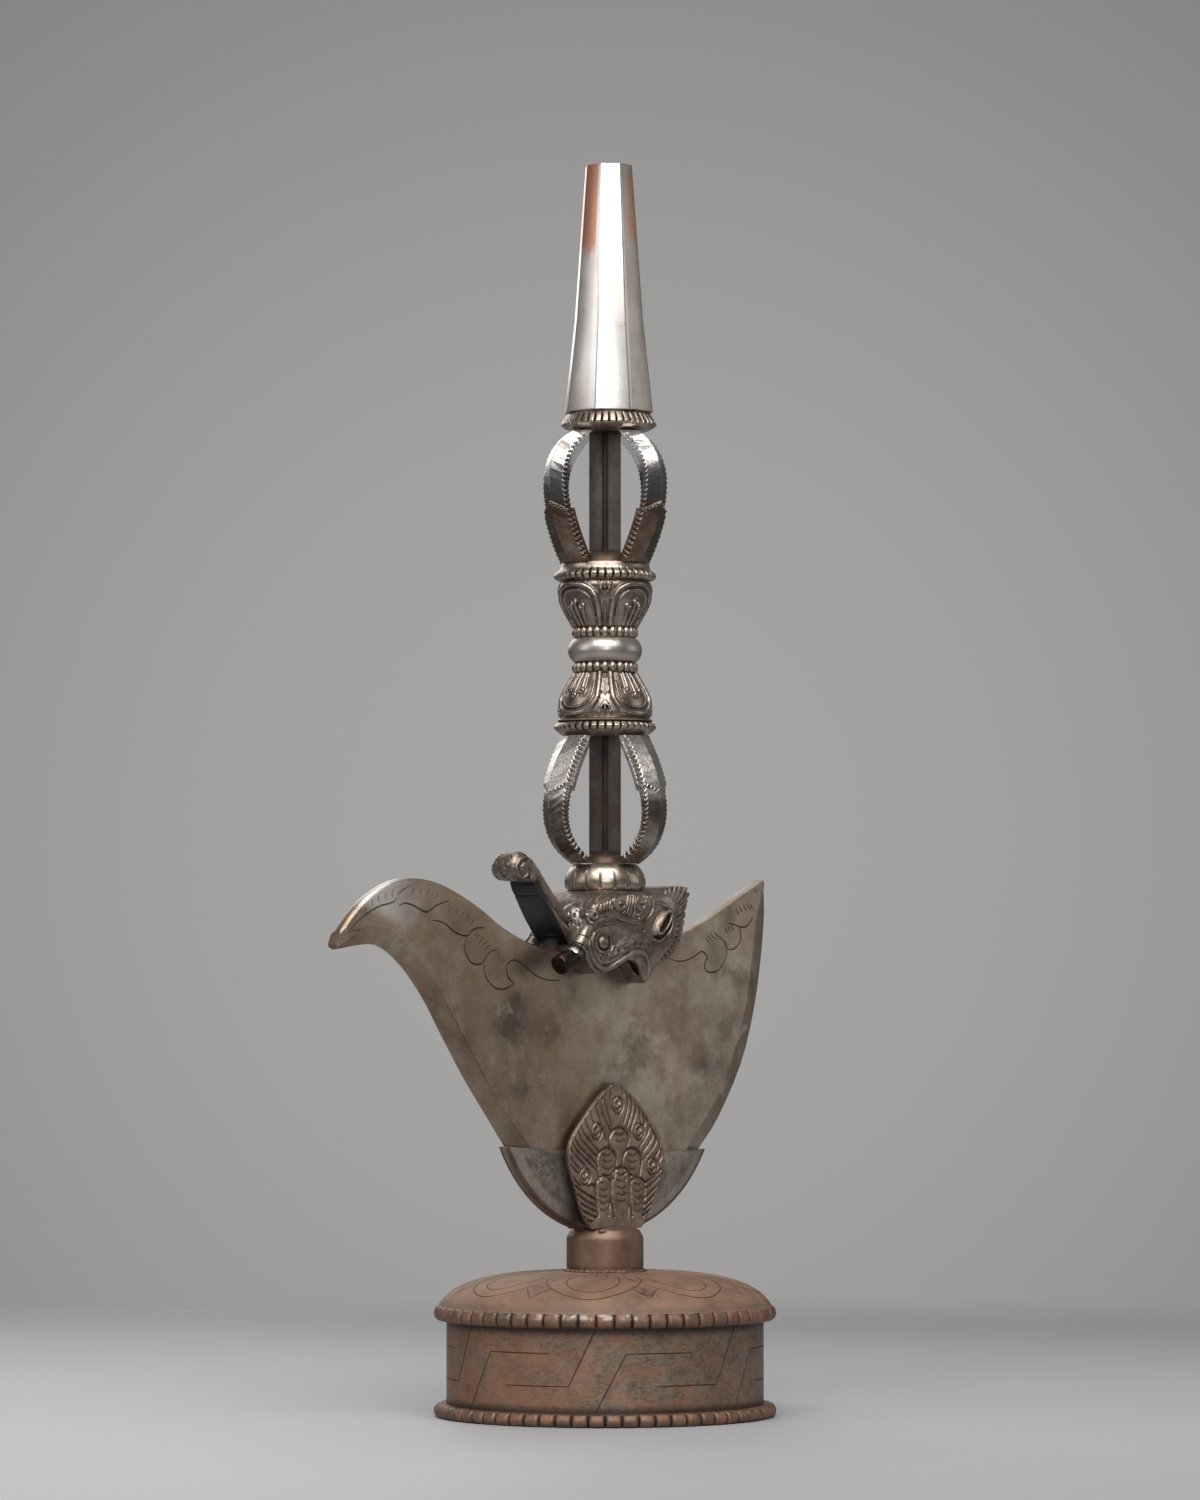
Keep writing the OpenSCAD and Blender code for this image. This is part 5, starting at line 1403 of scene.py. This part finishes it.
# The mane's outer and inner edge, in mm across and up from the head's top
MANE_OUT = [(12.9, 0.1), (15.9, 0.9), (19.4, 1.3), (21.7, 1), (22.3, 0), (21.7, -1.6), (21.1, -3.3),
            (20.9, -4.9), (20.1, -6.8), (19.8, -8.9), (18.6, -11.6), (17.4, -13.7), (15.9, -15.6),
            (14, -16.5), (11.7, -17.5), (9.1, -18.6)]
MANE_IN = [(12, -1), (14, -0.9), (15.5, -2.5), (15.5, -4.9), (15.3, -7.9), (14, -10.3), (10.6, -13.2),
           (8.3, -15.9)]


def shared_out(line, count):
    """So many points at even steps along a line."""
    fine = curve_points([(x, 0, z) for x, z in line], 12)
    reach = [0]
    for a, b in zip(fine, fine[1:]):
        reach.append(reach[-1] + (b - a).length)
    stops = [reach[-1] * k / (count - 1) for k in range(count)]
    return [fine[min(range(len(fine)), key=lambda i: abs(reach[i] - stop))] for stop in stops]


def mane():
    """The pleated mane: round pleats fan out from one ear and run across its back to the other."""
    core = copy_of("makara_mane", "mane_cast")
    core.scale = (1, 6.7 * MM / high("makara_mane").y, 1)
    pleats = []
    for a, b in zip(shared_out(MANE_IN, 21), shared_out(MANE_OUT, 21)):
        a, b = [from_top(p.x, 0, p.z) for p in (a, b)]
        tip = b + (a - b).normalized() * 0.6 * MM
        near = [(a - (b - a) * 0.4, 7.5), (a, 7.3), (a.lerp(tip, 0.6), 7.0), (tip, 6.4), (tip, 4)]
        path = ([p + Vector((0, -y * MM, 0)) for p, y in near]
                + [p + Vector((0, y * MM, 0)) for p, y in reversed(near)])
        pleats.append(wire("pleat", [path], 0.6, 2))
    piece = fused(joined([placed(core), *pleats], "mane_cast"), 0.19, 1)
    settle(piece, "makara_mane", HEAD_IRON, 60)


def trunk():
    """The raised trunk: a pitted roll with a spiral at its end, ridged edges and a flat, banded underside."""
    near = high("makara_trunk").y
    spiral = [(-27.9, 5.6), (-29, 6.9), (-30.4, 7.4), (-32.2, 6.8), (-33.3, 5.2), (-32.8, 3.6), (-31.1, 2.6),
              (-29.8, 3.3), (-30.1, 4.8), (-31.4, 5.6), (-32.1, 5), (-31.7, 4.2)]
    edge = [(-28.2, 5), (-26.4, 3.2), (-24.3, 0.7), (-21.6, -2.1), (-18.6, -5.1), (-15.4, -7.9)]
    lower = [(-27.9, 3.4), (-26.9, 0.6), (-24.3, -3), (-20.7, -6.4), (-17, -9.2), (-14.8, -10.6)]
    middle = [(-26, 1.6), (-24.4, -0.6), (-21.6, -3.6), (-18.4, -6.6), (-15, -9.2)]

    def flat(points, y):
        return drawn(points, y, 4, HEAD_TOP)

    clear_selection()
    bpy.ops.mesh.primitive_cube_add(size=1, location=from_top(-26.8, 0, 8.1),
                                    rotation=(0, math.radians(45), 0))
    corner = named("corner")
    corner.scale = (6 * MM, 20 * MM, 4 * MM)
    parts = [cut(copy_of("makara_trunk", "trunk_cast"), placed(corner))]
    for side in (FRONT, BACK):
        for line, radius, inset in ((spiral, 0.48, 0.3), (edge, 0.55, 0.35), (lower, 0.5, 0.3)):
            parts.append(wire("rim", [flat(line, side * (near - inset * MM))], radius, 2, 0.5))
    piece = fused(joined(parts, "trunk_cast"), 0.2, 3)
    for side in (FRONT, BACK):
        chase(piece, [flat(middle, side * near)], 0.5, 0.5)
        chase(piece, [flat([(x + 1.1, z - 0.2) for x, z in spiral[2:9]], side * near)], 0.4, 0.3)
    bands = [[from_top(x, y, z) for y in (-4.4, 4.4)]
             for x, z in ((-27.3, 1.6), (-26.2, -1.3), (-21.6, -8.5), (-19.6, -10.9))]
    chase(piece, bands, 0.4, 0.15)
    dice = random.Random(3)
    pits = []
    for k in range(44):
        a, y = math.radians(dice.uniform(70, 250)), dice.uniform(-3.2, 3.2)
        p = from_top(-30.9 + 3.5 * math.cos(a), y, 5.4 + 3.5 * math.sin(a))
        pits.append([p, p + Vector((0, 0.05 * MM, 0))])
    chase(piece, pits, 0.26, 0.3)
    settle(piece, "makara_trunk", TRUNK_IRON, 60)


def tusks():
    """Banded tusks with a flared lip, each with a blunt stub bent outwards from under it."""
    section = [(0.3, -0.8), (1, -0.5), (1.3, 0.4), (1.45, 2.2), (1.4, 2.36), (1.12, 2.45), (1.3, 2.6),
               (1.62, 2.7), (1.95, 4.6), (1.9, 4.78), (1.55, 4.88), (1.8, 5.05), (2.05, 5.15), (2.45, 6.8),
               (2.75, 7.4), (2.7, 7.8), (2.2, 8.1), (1.2, 8.5), (0.2, 8.6)]
    for node, side in (("front_tusk", FRONT), ("back_tusk", BACK)):
        piece = lathe(node + "_turned", [(r * MM, z * MM) for r, z in section], 48)
        lean = Vector((-0.53, 0, -0.848))
        piece.rotation_euler = lean.to_track_quat("Z", "Y").to_euler()
        piece.location = from_top(-14.3, side * 8.2, -9.2)
        stub = rod("stub", from_top(-17.6, side * 8.2, -15.4), from_top(-23.9, side * 8.4, -17.9), 2.35,
                   2.6, 10)
        piece = joined([placed(piece), bevelled(stub, 0.6, 3, 40)], node + "_turned")
        settle(piece, node, TUSK_IRON, 40)


makara_head()
eyes()
mane()
trunk()
tusks()

for node, slot, finish in [("stand_bottom_plate", "drum_iron", STAND_IRON),
                           ("stem_screw", "screw_steel", TANG_IRON),
                           ("stem_washer", "screw_steel", TANG_IRON)]:
    settle(bevelled(copy_of(node, node + "_worn"), 0.15, 2, 40), node, finish)
